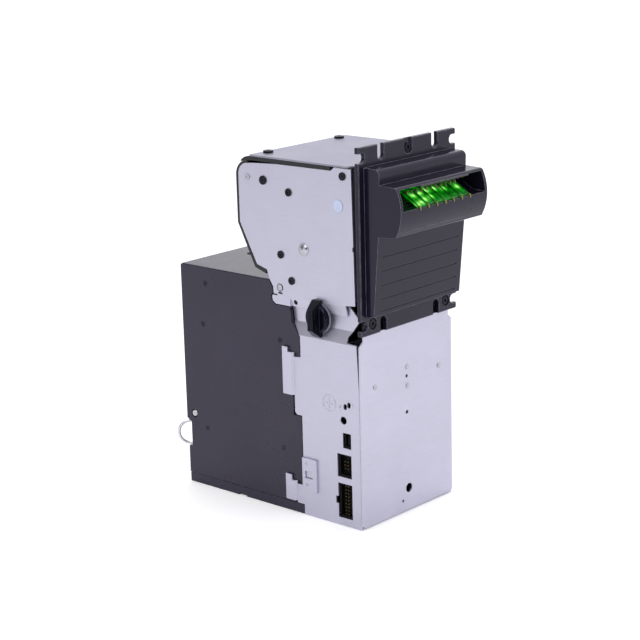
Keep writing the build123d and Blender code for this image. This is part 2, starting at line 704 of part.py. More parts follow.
with BuildPart() as rear_shell:
    ring(side_plane(-CHEEK_IN + 0.1), DRUM, GUIDE_INNER + 2.0, GUIDE_INNER, 2 * CHEEK_IN - 0.2)
    keep = [(86.0, 262), (120, 262), (120, 170), (86.0, 170), (84.0, 192.0), DRUM, (96.0, 240.0)]
    prism(side_plane(-HALF), keep, 2 * HALF, Mode.INTERSECT)
    corners = [(SHELL_CORNER, 11.0), (SHELL_INNER_CORNER, 8.9)]
    prism(side_plane(-HALF), SHELL_OUTER + SHELL_INNER, 2 * HALF, rounds=corners)
    for x in (-HALF, HALF - 1.5):
        prism(side_plane(x), [(98.6, 185.0), (102.8, 184.3), (102.8, 183.2), (98.0, 182.8)], 1.5)
    tail = [(85.0, 188.2), (85.0, 190.6), (64.0, 183.1), (64.0, 180.9)]
    prism(side_plane(-CHEEK_IN + 0.1), tail, 2 * CHEEK_IN - 0.2)
    for x in (-30, 0, 30):
        block(side_plane(x - 1), (107, 213), (110, 215), 2)
        prism(side_plane(x - 1), [(92.6, 190.0), (97.2, 185.0), (98.6, 187.0), (94.0, 192.0)], 2)
save(rear_shell, "rear_shell")

with BuildPart() as head_screws:
    for side in (-1, 1):
        for spot, radius in SCREWS.items():
            head_x = -HALF - 0.7 if side < 0 else HALF
            disc(side_plane(head_x), spot, radius, 0.7)
            socket_x = -HALF - 0.7 if side < 0 else HALF + 0.1
            disc(side_plane(socket_x), spot, 1.1, 0.6, Mode.SUBTRACT)
            stem_x = -HALF if side < 0 else INNER
            disc(side_plane(stem_x), spot, 1.6, SHEET)
        disc(side_plane(-49.5 if side < 0 else 48.9), PLUG_SPOT, 1.7, 0.6)
save(head_screws, "head_screws")

with BuildPart() as head_rivets:
    for side in (-1, 1):
        washer = -HALF - 0.4 if side < 0 else HALF
        disc(side_plane(washer), DOME_SPOT, 4.6, 0.4)
        dome(side * (HALF + 0.4), DOME_SPOT, 4.1, side * 1.5)
        disc(side_plane(-HALF if side < 0 else INNER), DOME_SPOT, 2.0, SHEET)
        disc(side_plane(-INNER if side < 0 else INNER - 0.25), STUD_SPOT, 3.9, 0.25)
        disc(side_plane(-HALF - 0.2 if side < 0 else INNER), STUD_SPOT, 2.2, SHEET + 0.2)
save(head_rivets, "head_rivets")

BUSH_BOTTOM = 49.7  # where the closed end of a bush starts, from the middle

with BuildPart() as shaft_bushes:
    for side in (-1, 1):
        cap = -HALF - 0.4 if side < 0 else BUSH_BOTTOM
        disc(side_plane(cap), ENTRY, 4.2, HALF + 0.4 - BUSH_BOTTOM)
        sleeve = -BUSH_BOTTOM if side < 0 else CHEEK_OUT + 0.05
        ring(side_plane(sleeve), ENTRY, 4.2, 2.5 + RUN_FIT, BUSH_BOTTOM - CHEEK_OUT - 0.05)
save(shaft_bushes, "shaft_bushes")

with BuildPart() as lid_hinge_pin:
    shaft(LID_HINGE, 1.8, -HALF - 0.6, HALF + 0.6)
    for low in (-HALF - 0.6, HALF):
        shaft(LID_HINGE, 2.2, low, low + 0.6)
    for low in (-HALF - 0.6, HALF + 0.1):
        shaft(LID_HINGE, 1.1, low, low + 0.5, Mode.SUBTRACT)
save(lid_hinge_pin, "lid_hinge_pin")

# ---------------------------------------------------------------- head: drive
with BuildPart() as head_motor:
    motor_can(HEAD_MOTOR, 12.0, 8.0, 35.95, 1)
save(head_motor, "head_motor")

with BuildPart() as motor_pinion:
    gear(38.9, HEAD_MOTOR, TEETH_PINION, PHASE_PINION, 3.8, 0)
    shaft(HEAD_MOTOR, 1.2, 13.0, 42.7)
save(motor_pinion, "motor_pinion")

with BuildPart() as idler_gear:
    gear(38.9, IDLER, TEETH_IDLER, PHASE_IDLER, 3.8, 2.0 + RUN_FIT)
save(idler_gear, "idler_gear")

ENTRY_PULLEY = 5.0
DRUM_PULLEY = ENTRY_PULLEY * DRUM_RADIUS / ENTRY_RADIUS
TRANSFER_PULLEY = 8.0

with BuildPart() as drum_shaft:
    shaft(DRUM, 3.0, -CHEEK_OUT + 0.1, CHEEK_OUT - 0.1)
    gear(38.9, DRUM, TEETH_DRUM, PHASE_DRUM, 3.8, 0)
    shaft(DRUM, DRUM_PULLEY, -42.6, -39.4)
    shaft(DRUM, TRANSFER_PULLEY, -38.6, -35.4)
save(drum_shaft, "drum_shaft")

with BuildPart() as drum_rollers:
    for x in (-24, 0, 24):
        shaft(DRUM, DRUM_RADIUS, x - 5, x + 5)
        shaft(DRUM, 3.0, x - 5, x + 5, Mode.SUBTRACT)
        for angle in range(0, 360, 60):
            spoke = (DRUM[0] + 12 * cos(radians(angle)), DRUM[1] + 12 * sin(radians(angle)))
            shaft(spoke, 4.0, x - 5, x + 5, Mode.SUBTRACT)
save(drum_rollers, "drum_rollers")

with BuildPart() as entry_rollers:
    shaft(ENTRY, 2.5, -BUSH_BOTTOM + 0.1, BUSH_BOTTOM - 0.1)
    shaft(ENTRY, ENTRY_PULLEY, -42.6, -39.4)
    for x in (-22, 22):
        shaft(ENTRY, ENTRY_RADIUS, x - 5, x + 5)
save(entry_rollers, "entry_rollers")

with BuildPart() as drive_belts:
    belt(-42.5, 3.0, DRUM, DRUM_PULLEY + 0.02, ENTRY, ENTRY_PULLEY + 0.02, 1.0)
    belt(-38.5, 3.0, DRUM, TRANSFER_PULLEY + 0.02, TRANSFER_HEAD, TRANSFER_PULLEY + 0.02, 1.0)
save(drive_belts, "drive_belts")

with BuildPart() as transfer_shaft:
    shaft(TRANSFER_HEAD, 2.5, -45.6, -34.6)
    gear(-45.6, TRANSFER_HEAD, TEETH_TRANSFER, 0.0, 2.6, 0)
    shaft(TRANSFER_HEAD, TRANSFER_PULLEY, -38.6, -35.4)
save(transfer_shaft, "transfer_shaft")

with BuildPart() as sensor_board:
    block(level_plane(BED_TOP - 8), (-34, 30.5), (34, 58), 1.6)
    for x in (-30, 30):
        disc(level_plane(BED_TOP - 6.4), (x, 44), 2.0, 6.4 - BED_THICK)
save(sensor_board, "sensor_board")

# ---------------------------------------------------------------- lid: cover and upper guide
LID_UNDER = 253.5
LID_FRONT = 5.4

with BuildPart() as top_cover:
    block(side_plane(-HALF), (LID_FRONT, LID_UNDER), (97.0, LID_UNDER + SHEET), 2 * HALF)
    prism(level_plane(LID_UNDER - 1), [(-HALF, LID_FRONT), (-46.5, LID_FRONT), (-HALF, LID_FRONT + 3)], 4,
          Mode.SUBTRACT)
    prism(level_plane(LID_UNDER - 1), [(HALF, LID_FRONT), (46.5, LID_FRONT), (HALF, LID_FRONT + 3)], 4,
          Mode.SUBTRACT)
    for x in (-37.5, 37.5):
        disc(level_plane(LID_UNDER - 1), (x, 91.5), 1.6, 3, Mode.SUBTRACT)
save(top_cover, "top_cover")

GUIDE_UNDER = 238.4
GUIDE_HALF = CHEEK_IN - GAP
# The lid's rim, whose back end curls down round the rear shell's rounded top
LID_RIM = [(23.2, 250.7), (96.0, 250.7), (97.9, 250.27), (99.9, 250.45), (102.9, 250.05), (105.4, 249.1)]
LID_RIM += [(106.0, 249.6), (105.3, 250.6), (102.5, 252.4), (99.0, 253.4)]
LID_RIM += [(97.0, LID_UNDER), (23.2, LID_UNDER)]
SHELL_SWEEP = (8.1, 11.75)  # radii about the hinge that the lid's walls keep clear for the rear shell

with BuildPart() as upper_guide:
    prism(side_plane(-HALF), LID_RIM, 2 * HALF)
    block(side_plane(-INNER + 0.3), (LID_FRONT, 250.7), (24.0, LID_UNDER), 2 * (INNER - 0.3))
    block(level_plane(250), (-41, 14), (41, 86), 4, Mode.SUBTRACT)
    for x in (-37.5, 37.5):
        disc(level_plane(250), (x, 91.5), 1.6, 4, Mode.SUBTRACT)
    bed = [(LID_FRONT + 0.6, GUIDE_UNDER + 2), (LID_FRONT + 3, GUIDE_UNDER), (86, GUIDE_UNDER)]
    bed += [(86, GUIDE_UNDER + 2.2), (LID_FRONT + 0.6, GUIDE_UNDER + 2.8)]
    prism(side_plane(-GUIDE_HALF), bed, 2 * GUIDE_HALF)
    wall = [(LID_FRONT + 0.6, GUIDE_UNDER + 2), (LID_FRONT + 0.6, 250.7), (92, 250.7), (103.5, 241.5)]
    wall += [(103.5, 236.5), (97.0, 236.5), (88, GUIDE_UNDER), (LID_FRONT + 3, GUIDE_UNDER)]
    for x in (-GUIDE_HALF, GUIDE_HALF - 2.0):
        prism(side_plane(x), wall, 2.0)
        with BuildSketch(side_plane(x)) as sweep_gap:
            with Locations(LID_HINGE):
                Circle(SHELL_SWEEP[1])
                Circle(SHELL_SWEEP[0], mode=Mode.SUBTRACT)
            with BuildLine():
                Polyline(LID_HINGE, (80.8, 244.6), (80.8, 232.0), close=True)
            make_face(mode=Mode.SUBTRACT)
        extrude(sweep_gap.sketch, amount=2.0, mode=Mode.SUBTRACT)
    for x in (-20, 0, 20):
        block(side_plane(x - 1), (28, GUIDE_UNDER + 1), (84, 244), 2)
    block(side_plane(-GUIDE_HALF), (30, 240), (32, 250.7), 2 * GUIDE_HALF)
    block(side_plane(-GUIDE_HALF), (82, 240), (84, 250.7), 2 * GUIDE_HALF)
    for x in (-22, 22):
        block(level_plane(236), (x - 6, 9.6), (x + 6, 24), 8, Mode.SUBTRACT)
    for x in (-15.8, 13.8):
        block(side_plane(x), (13, GUIDE_UNDER + 1), (20.2, 247), 2.0)
    shaft(PRESSURE, 1.5 + RUN_FIT, -GUIDE_HALF + 2, GUIDE_HALF - 2, Mode.SUBTRACT)
    shaft(LID_HINGE, 1.8 + RUN_FIT, -GUIDE_HALF, GUIDE_HALF, Mode.SUBTRACT)
save(upper_guide, "upper_guide")

with BuildPart() as cover_screws:
    for x in (-37.5, 37.5):
        disc(level_plane(LID_UNDER + 1.2), (x, 91.5), 3.6, 1.5)
        disc(level_plane(LID_UNDER + 1.5), (x, 91.5), 1.5, 1.2, Mode.SUBTRACT)
        disc(level_plane(250.7), (x, 91.5), 1.6, LID_UNDER + 1.2 - 250.7)
save(cover_screws, "cover_screws")

with BuildPart() as pressure_rollers:
    shaft(PRESSURE, 1.5, -29.0, 29.0)
    for x in (-22, 22):
        shaft(PRESSURE, PRESSURE_RADIUS, x - 5, x + 5)
save(pressure_rollers, "pressure_rollers")

# ---------------------------------------------------------------- lock knob
KNOB_RADIUS = 9.8
KNOB_BACK = HALF + 0.8
KNOB_FACE = HALF + 4.1
KNOB_CREST = HALF + 9.9
WING_HALF = 13.0
WING_BASE = 3.5  # half width of the wing where it leaves the disc
WING_CREST = 2.3

with BuildPart() as lock_knob:
    disc(side_plane(-KNOB_FACE), KNOB, KNOB_RADIUS, KNOB_FACE - KNOB_BACK)
    chamfer(lock_knob.faces().sort_by(Axis.X)[0].edges(), length=0.8)
    disc(side_plane(-KNOB_BACK), KNOB, 4.0, KNOB_BACK - RAIL_HALF + SHEET + 0.2)
    wing = [
        (-KNOB_FACE, KNOB[0] - WING_BASE),
        (-KNOB_CREST, KNOB[0] - WING_CREST),
        (-KNOB_CREST, KNOB[0] + WING_CREST),
        (-KNOB_FACE, KNOB[0] + WING_BASE),
        (-KNOB_BACK, KNOB[0] + WING_BASE),
        (-KNOB_BACK, KNOB[0] - WING_BASE),
    ]
    prism(level_plane(KNOB[1] - WING_HALF), wing, 2 * WING_HALF)
    ends = [
        (-KNOB_CREST - 1, -7.5),
        (-KNOB_CREST - 1, 7.5),
        (-KNOB_CREST, 7.5),
        (-KNOB_FACE + 0.8, WING_HALF),
        (-HALF + 9, WING_HALF),
        (-HALF + 9, -WING_HALF),
        (-KNOB_FACE + 0.8, -WING_HALF),
        (-KNOB_CREST, -7.5),
    ]
    lifted = [(x, KNOB[1] + height) for x, height in ends]
    prism(front_plane(60), lifted, 50, Mode.INTERSECT)
    arm = KNOB[0] - LOCK_RADIUS + 0.6
    block(side_plane(-HALF + 0.3), (arm, KNOB[1] - 2.0), (KNOB[0], KNOB[1] + 2.0), 2.0)
save(lock_knob, "lock_knob")

with BuildPart() as knob_washer:
    ring(side_plane(-HALF - 0.7), KNOB, 10.9, 4.0 + RUN_FIT, 0.6)
save(knob_washer, "knob_washer")

# ---------------------------------------------------------------- bezel
SLOT_X = 28.8
SLOT_RADIUS = 3.2
SLOT_HEIGHTS = (146.7, 260.8)
NOTCH_X = 48.4
GROOVES = [194.6, 184.9, 174.9, 165.2, 156.6]
TOP_SCREW = (0.3, 261.7)
LOW_SCREWS = [(-39.7, 146.9), (39.7, 146.9)]
RECESS = 1.9  # how deep the screw heads are sunk in the flange

with BuildPart() as bezel:
    with BuildSketch(front_plane(0)) as flange:
        with Locations((0, (BEZEL_LOW + BEZEL_TOP) / 2)):
            RectangleRounded(2 * BEZEL_HALF, BEZEL_TOP - BEZEL_LOW, 1.0)
    extrude(flange.sketch, amount=FLANGE)
    with BuildSketch(side_plane(-HOOD_HALF)) as hood:
        with BuildLine():
            Polyline((-FLANGE + 0.5, 152.4), (-9.9, 153.6), (-15.0, 208.9), (-28.2, 210.0))
            ThreePointArc((-28.2, 210.0), (-29.8, 210.4), (-30.5, 211.6))
            ThreePointArc((-30.5, 211.6), (-34.6, 229.0), (-31.4, 241.4))
            ThreePointArc((-31.4, 241.4), (-30.2, 243.0), (-28.2, 243.5))
            Polyline((-28.2, 243.5), (-16.2, 243.9), (-16.4, 249.8))
            ThreePointArc((-16.4, 249.8), (-15.3, 253.0), (-12.2, 254.2))
            Polyline((-12.2, 254.2), (-FLANGE + 0.5, 254.4), (-FLANGE + 0.5, 152.4))
        make_face()
    extrude(hood.sketch, amount=2 * HOOD_HALF)
    mouth = [(-40, 227.6), (-24, 228.4), (-9, 236.0), (1, 236.0)]
    mouth += [(1, 241.2), (-20, 241.2), (-29, 242.0), (-40, 242.0)]
    prism(side_plane(-MOUTH_HALF), mouth, 2 * MOUTH_HALF, Mode.SUBTRACT)
    lower_hollow = [(1, 157.0), (-7.4, 157.0), (-12.4, 211.2), (-27.8, 212.6), (-31.0, 220.0)]
    lower_hollow += [(-31.4, 225.2), (-24.0, 226.2), (-10.6, 232.9), (1, 233.4)]
    prism(side_plane(-HOOD_HALF + 2.4), lower_hollow, 2 * (HOOD_HALF - 2.4), Mode.SUBTRACT)
    upper_hollow = [(1, 243.6), (-13.6, 243.6), (-13.6, 249), (-11, 251.8), (1, 251.8)]
    prism(side_plane(-HOOD_HALF + 2.4), upper_hollow, 2 * (HOOD_HALF - 2.4), Mode.SUBTRACT)
    block(level_plane(224.0), (-26, -31.0), (26, -21.0), 7, Mode.SUBTRACT)
    for centre in SLOT_HEIGHTS:
        outward = 1 if centre > 200 else -1
        for x in (-SLOT_X, SLOT_X):
            disc(front_plane(1), (x, centre), SLOT_RADIUS, 6, Mode.SUBTRACT)
            far = centre + outward * 12
            low, high = min(centre, far), max(centre, far)
            block(front_plane(1), (x - SLOT_RADIUS, low), (x + SLOT_RADIUS, high), 6, Mode.SUBTRACT)
        for side in (-1, 1):
            disc(front_plane(1), (side * NOTCH_X, centre), SLOT_RADIUS, 6, Mode.SUBTRACT)
            far = side * (NOTCH_X + 8)
            block(front_plane(1), (min(side * NOTCH_X, far), centre - SLOT_RADIUS),
                  (max(side * NOTCH_X, far), centre + SLOT_RADIUS), 6, Mode.SUBTRACT)
    recess = front_plane(-FLANGE + RECESS)
    disc(recess, TOP_SCREW, 4.0, 3, Mode.SUBTRACT)
    block(recess, (TOP_SCREW[0] - 4, TOP_SCREW[1]), (TOP_SCREW[0] + 4, 270), 3, Mode.SUBTRACT)
    for spot in LOW_SCREWS:
        disc(recess, spot, 4.0, 3, Mode.SUBTRACT)
    for spot in [TOP_SCREW] + LOW_SCREWS:
        disc(front_plane(1), spot, 1.6, 6, Mode.SUBTRACT)
    for height in GROOVES:
        face = -9.9 - 5.1 * (height - 153.6) / 55.3
        block(side_plane(-41), (face - 1, height - 0.45), (face + 0.5, height + 0.45), 82, Mode.SUBTRACT)
    block(front_plane(-31.2), (29.6, 213.6), (30.4, 226.0), 4, Mode.SUBTRACT)
    block(front_plane(-31.2), (-29.0, 213.6), (30.4, 214.4), 4, Mode.SUBTRACT)
    face_y = FRONT_Y - FLANGE
    face_edges = bezel.edges().filter_by_position(Axis.Y, face_y - 0.02, face_y + 0.02)
    off_hood = [
        edge
        for edge in face_edges
        if abs(edge.center().X) > HOOD_HALF + 0.2 or not 151 < edge.center().Z < 255.5
    ]
    chamfer(off_hood, length=0.5)
save(bezel, "bezel")

with BuildPart() as bezel_screws:
    for spot in [TOP_SCREW] + LOW_SCREWS:
        disc(front_plane(-FLANGE + RECESS), spot, 2.9, 1.4)
        disc(front_plane(-FLANGE + RECESS - 0.5), spot, 1.4, 1.0, Mode.SUBTRACT)
        disc(front_plane(2.9), spot, 1.6, 2.9 + FLANGE - RECESS)
save(bezel_screws, "bezel_screws")

with BuildPart() as bezel_bracket:
    block(front_plane(4.4), (-INNER + 0.1, 163.4), (INNER - 0.1, 252.6), 4.4)
    block(front_plane(5), (-44.6, 172.0), (44.6, 248.4), 6, Mode.SUBTRACT)
    block(front_plane(3.0), (TOP_SCREW[0] - 6, 248.4), (TOP_SCREW[0] + 6, 266.0), 3.0)
    for side in (-1, 1):
        flange_x = -INNER + 0.1 if side < 0 else INNER - 1.3
        block(side_plane(flange_x), (3.0, 165.0), (11.0, 242.0), 1.2)
    for spot in LOW_SCREWS:
        block(front_plane(3.0), (spot[0] - 4.6, 142.0), (spot[0] + 4.6, 164.5), 3.0)
    for spot in [TOP_SCREW] + LOW_SCREWS:
        disc(front_plane(4), spot, 1.6, 5, Mode.SUBTRACT)
save(bezel_bracket, "bezel_bracket")

RUNWAY_HALF = 28.2
RUNWAY_FRONT = (-33.1, 228.05)
RUNWAY_BACK = (-19.1, 236.4)
TEETH_COUNT = 7

with BuildPart() as runway:
    plate = [RUNWAY_FRONT, (-33.1, 229.1), (-19.4, 237.2), (-12.0, 237.2), (-12.0, 236.2), RUNWAY_BACK]
    prism(side_plane(-RUNWAY_HALF), plate, 2 * RUNWAY_HALF)
    for index in range(TEETH_COUNT):
        x = -RUNWAY_HALF + 1.2 + index * (2 * RUNWAY_HALF - 2.4) / (TEETH_COUNT - 1)
        hook = [(-32.0, 229.5), (-34.9, 229.0), (-35.5, 227.2), (-35.2, 226.4)]
        hook += [(-34.8, 226.6), (-34.8, 228.0), (-32.0, 228.3)]
        rib = [(-33.0, 229.0), (-32.4, 230.1), (-20.0, 237.8)]
        rib += [(-12.0, 238.0), (-12.0, 236.9), (-19.4, 237.0)]
        prism(side_plane(x - 0.5), rib, 1.0)
        prism(side_plane(x - 0.5), hook, 1.0)
save(runway, "runway")

LED_ROWS = (-26.8, -22.0)

with BuildPart() as led_board:
    block(level_plane(217.0), (-27, -28.6), (27, -14.6), 1.2)
    for x in (-22.5, -7.5, 7.5, 22.5):
        for depth in LED_ROWS:
            block(level_plane(218.2), (x - 1.4, depth - 1.0), (x + 1.4, depth + 1.0), 1.0)
    for x in (-26, 24.4):
        block(level_plane(212.8), (x, -26), (x + 1.6, -15.5), 4.2)
save(led_board, "led_board")

# ---------------------------------------------------------------- cash box
BOX_WALL = 1.2
CAVITY_HALF = 47.8
TRAY_HEIGHT = 7.4
DOOR_HINGE = (167.0, 162.3)
DOOR_TOP = 164.3
DOOR_FACE = 169.6
LATCH_SPOT = (163.2, 54.2)
LATCH_HOLE = 3.1

BOX_RIVETS = [(145.8, 156.0), (149.9, 124.9), (73.5, 125.3), (149.2, 45.4), (73.1, 46.0)]
RIVET_RECESS = 0.5
# Outline of the side step that clears the head's side plate
HEAD_STEP = [(54, 150.6), (77.0, 150.6), (80.4, 153.0), (80.9, 156.6), (79.3, 158.8), (79.6, 162.8)]
HEAD_STEP += [(83.2, 168.4), (83.2, 170), (54, 170)]

with BuildPart() as cashbox_shell:
    box = [(BOX_FRONT, TRAY_HEIGHT), (170.0, TRAY_HEIGHT), (170.0, 28.0), (BOX_BACK, 28.0)]
    box += [(BOX_BACK, BOX_TOP - 1.5), (BOX_BACK - 1.5, BOX_TOP), (BOX_FRONT, BOX_TOP)]
    prism(side_plane(-HALF), box, 2 * HALF)
    block(side_plane(-CAVITY_HALF), (BOX_FRONT + BOX_WALL, TRAY_HEIGHT - 1),
          (BOX_BACK + 1, BOX_TOP - BOX_WALL), 2 * CAVITY_HALF, Mode.SUBTRACT)
    block(front_plane(60), (-WINDOW_HALF - 1.5, 17.0), (WINDOW_HALF + 1.5, 143.0), 6, Mode.SUBTRACT)
    for side in (-1, 1):
        corner = side_plane(BOX_NECK if side > 0 else -HALF - 1)
        prism(corner, HEAD_STEP, HALF + 1 - BOX_NECK, Mode.SUBTRACT)
        for low, high in ((6.0, 24.4), (72.5, 119.0)):
            block(corner, (BOX_FRONT - 1, low), (BOX_STEP, high), HALF + 1 - BOX_NECK, Mode.SUBTRACT)
        recess = side_plane(HALF - RIVET_RECESS if side > 0 else -HALF - 1)
        for spot in BOX_RIVETS:
            disc(recess, spot, 2.0, 1 + RIVET_RECESS, Mode.SUBTRACT)
        low = -HALF - 1 if side < 0 else CAVITY_HALF - 1
        disc(side_plane(low), LATCH_SPOT, LATCH_HOLE, 5, Mode.SUBTRACT)
        blind = -CAVITY_HALF - 1.0 if side < 0 else CAVITY_HALF - 0.2
        disc(side_plane(blind), DOOR_HINGE, 1.6, 1.2, Mode.SUBTRACT)
    neck_cut = [(54, 129.9), (55.0, 130.9), (61.9, 139.4), (62.8, 147.7)]
    neck_cut += [(63.8, 151.2), (63.8, 169), (54, 169)]
    prism(side_plane(-HALF - 1), neck_cut, 2 * HALF + 2, Mode.SUBTRACT)
    notch = [(BOX_BACK + 1, 50.2), (BOX_BACK, 49.6), (166.6, 47.4), (166.6, 28.0), (BOX_BACK + 1, 28.0)]
    prism(side_plane(-HALF - 1), notch, 5, Mode.SUBTRACT)
    upper = cashbox_shell.edges().filter_by(Axis.Y).group_by(Axis.Z)[-1]
    fillet(upper, radius=0.8)
save(cashbox_shell, "cashbox_shell")

with BuildPart() as cashbox_tray:
    block(side_plane(-HALF + 0.3), (BOX_FRONT + 0.3, 0), (169.9, TRAY_HEIGHT - 0.5), 2 * HALF - 0.6)
    block(side_plane(-CAVITY_HALF), (BOX_FRONT + 2, BOX_WALL), (166.8, TRAY_HEIGHT), 2 * CAVITY_HALF,
          Mode.SUBTRACT)
    for side in (-1, 1):
        block(side_plane(side * HALF - 2), (112.0, -1), (119.8, 1.6), 4, Mode.SUBTRACT)
save(cashbox_tray, "cashbox_tray")

with BuildPart() as cashbox_rivets:
    for low in (-HALF + RIVET_RECESS - 0.3, HALF - RIVET_RECESS):
        for spot in BOX_RIVETS:
            disc(side_plane(low), spot, 1.4, 0.3)
save(cashbox_rivets, "cashbox_rivets")

with BuildPart() as cashbox_door:
    block(front_plane(DOOR_FACE + 1.2), (-CAVITY_HALF + 0.3, 12.4), (CAVITY_HALF - 0.3, DOOR_TOP), 1.2)
    block(front_plane(DOOR_FACE + 1.3), (-CAVITY_HALF, 26.6), (-38.6, 50.2), 1.4, Mode.SUBTRACT)
    for side in (-1, 1):
        low = -CAVITY_HALF + 0.3 if side < 0 else CAVITY_HALF - 1.5
        block(side_plane(low), (DOOR_HINGE[0] - 2.4, 150), (DOOR_FACE, DOOR_TOP), 1.2)
        pin_x = -CAVITY_HALF - 0.9 if side < 0 else CAVITY_HALF - 2.5
        disc(side_plane(pin_x), DOOR_HINGE, 1.55, 3.4)
save(cashbox_door, "cashbox_door")

PLATE_DEPTH = 62.0

with BuildPart() as pressure_plate:
    block(front_plane(PLATE_DEPTH + 1.5), (-44, 8.5), (44, 160), 1.5)
    for x in (-42.8, 42.8):
        block(side_plane(x - 0.6), (PLATE_DEPTH + 1.4, 20), (PLATE_DEPTH + 9, 150), 1.2)
save(pressure_plate, "pressure_plate")

SPRING_FRONT = PLATE_DEPTH + 1.5
SPRING_BACK = 150.0
SPRING_RADIUS = 12.0
SPRING_HEIGHT = 95.0
SPRING_WIRE = 0.7
SPRING_TURNS = 7

with BuildPart() as pressure_spring:
    length = SPRING_BACK - SPRING_FRONT - 2 * SPRING_WIRE
    with BuildLine() as coil:
        Helix(
            pitch=length / SPRING_TURNS,
            height=length,
            radius=SPRING_RADIUS,
            center=(0, FRONT_Y + SPRING_FRONT + SPRING_WIRE, SPRING_HEIGHT),
            direction=(0, 1, 0),
        )
    with BuildSketch(Plane(origin=coil.line @ 0, z_dir=coil.line % 0)) as wire:
        Circle(SPRING_WIRE)
    sweep(wire.sketch, path=coil.line)
save(pressure_spring, "pressure_spring")

with BuildPart() as spring_stop:
    block(front_plane(SPRING_BACK + 1.2), (-CAVITY_HALF + 0.05, 80), (CAVITY_HALF - 0.05, 110), 1.2)
    for side in (-1, 1):
        low = -CAVITY_HALF + 0.05 if side < 0 else CAVITY_HALF - 1.25
        block(side_plane(low), (SPRING_BACK - 8, 80), (SPRING_BACK + 1, 110), 1.2)
save(spring_stop, "spring_stop")

SLIDER_HEIGHT = 57.6
SLIDER_THICK = 1.4
SLIDER_HALF = 44.4
PEG_X = 34.0
PEG_RADIUS = 1.5
LATCH_TRAVEL = 2.4
SLIDER_TRAVEL = 4.0
GUIDE_BLOCK_IN = 42.5
EYE = (-43.0, 163.6)
EYE_HEIGHT = 37.4
RING_HEIGHT = 38.2
RING_RADIUS = 8.6
RING_WIRE = 1.1
RING_DIRECTION = 132.0  # degrees, which way the ring hangs out from its eye, seen from above

with BuildPart() as latch_guides:
    for side in (-1, 1):
        low = -CAVITY_HALF + 0.05 if side < 0 else GUIDE_BLOCK_IN
        block(side_plane(low), (155.0, 49.4), (167.4, 62.0), CAVITY_HALF - 0.05 - GUIDE_BLOCK_IN)
    shaft(LATCH_SPOT, 2.6 + RUN_FIT, -HALF, HALF, Mode.SUBTRACT)
    block(level_plane(SLIDER_HEIGHT - RUN_FIT), (-SLIDER_HALF - 0.1, 150), (SLIDER_HALF + 0.1, 170),
          SLIDER_THICK + 2 * RUN_FIT, Mode.SUBTRACT)
save(latch_guides, "latch_guides")

with BuildPart() as release_slider:
    block(level_plane(SLIDER_HEIGHT), (-SLIDER_HALF, 154.5), (SLIDER_HALF, 165.4), SLIDER_THICK)
    for side in (-1, 1):
        middle = (side * (PEG_X - LATCH_TRAVEL / 2), LATCH_SPOT[0] - SLIDER_TRAVEL / 2)
        angle = degrees(atan2(SLIDER_TRAVEL, side * LATCH_TRAVEL))
        with BuildSketch(level_plane(SLIDER_HEIGHT)) as slot:
            with Locations(middle):
                SlotCenterToCenter(hypot(SLIDER_TRAVEL, LATCH_TRAVEL), 2 * PEG_RADIUS + 0.1, rotation=angle)
        extrude(slot.sketch, amount=SLIDER_THICK, mode=Mode.SUBTRACT)
    block(side_plane(-41.6), (154.6, EYE_HEIGHT), (156.4, SLIDER_HEIGHT + 0.5), 1.6)
    block(level_plane(EYE_HEIGHT), (-46.2, EYE[1] - 3.2), (-40.0, EYE[1] + 3.2), 1.6)
    block(level_plane(EYE_HEIGHT), (-41.6, 154.6), (-40.0, EYE[1]), 1.6)
    disc(level_plane(EYE_HEIGHT - 1), EYE, 1.9, 4, Mode.SUBTRACT)
save(release_slider, "release_slider")


def latch_pin(side):
    """Latch pin for one side, with the upright peg that the slider's slot drives."""
    with BuildPart() as pin:
        low = -HALF + 0.2 if side < 0 else PEG_X - 2.5
        disc(side_plane(low), LATCH_SPOT, 2.6, HALF - 0.2 - PEG_X + 2.5)
        chamfer(pin.faces().filter_by(Axis.X).sort_by(Axis.X)[0 if side < 0 else -1].edges(), length=0.5)
        disc(level_plane(LATCH_SPOT[1]), (side * PEG_X, LATCH_SPOT[0]), PEG_RADIUS, 6.2)
    return pin


save(latch_pin(-1), "latch_pin_left")
save(latch_pin(1), "latch_pin_right")

with BuildPart() as pull_ring:
    reach = (cos(radians(RING_DIRECTION)), sin(radians(RING_DIRECTION)))
    centre = (EYE[0] + RING_RADIUS * reach[0], FRONT_Y + EYE[1] + RING_RADIUS * reach[1], RING_HEIGHT)
    ring_plane = Plane(origin=centre, x_dir=(reach[0], reach[1], 0), z_dir=(reach[1], -reach[0], 0))
    with BuildLine(ring_plane) as loop:
        CenterArc((0, 0), RING_RADIUS, 0, 360)
    with BuildSketch(Plane(origin=loop.line @ 0, z_dir=loop.line % 0)):
        Circle(RING_WIRE)
    sweep(path=loop.line)
save(pull_ring, "pull_ring")
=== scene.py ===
"""Looks for the bill validator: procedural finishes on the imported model, small details, light and camera."""

import json
from math import cos, pi, radians, sin

import bmesh
import bpy
from mathutils import Matrix, Vector


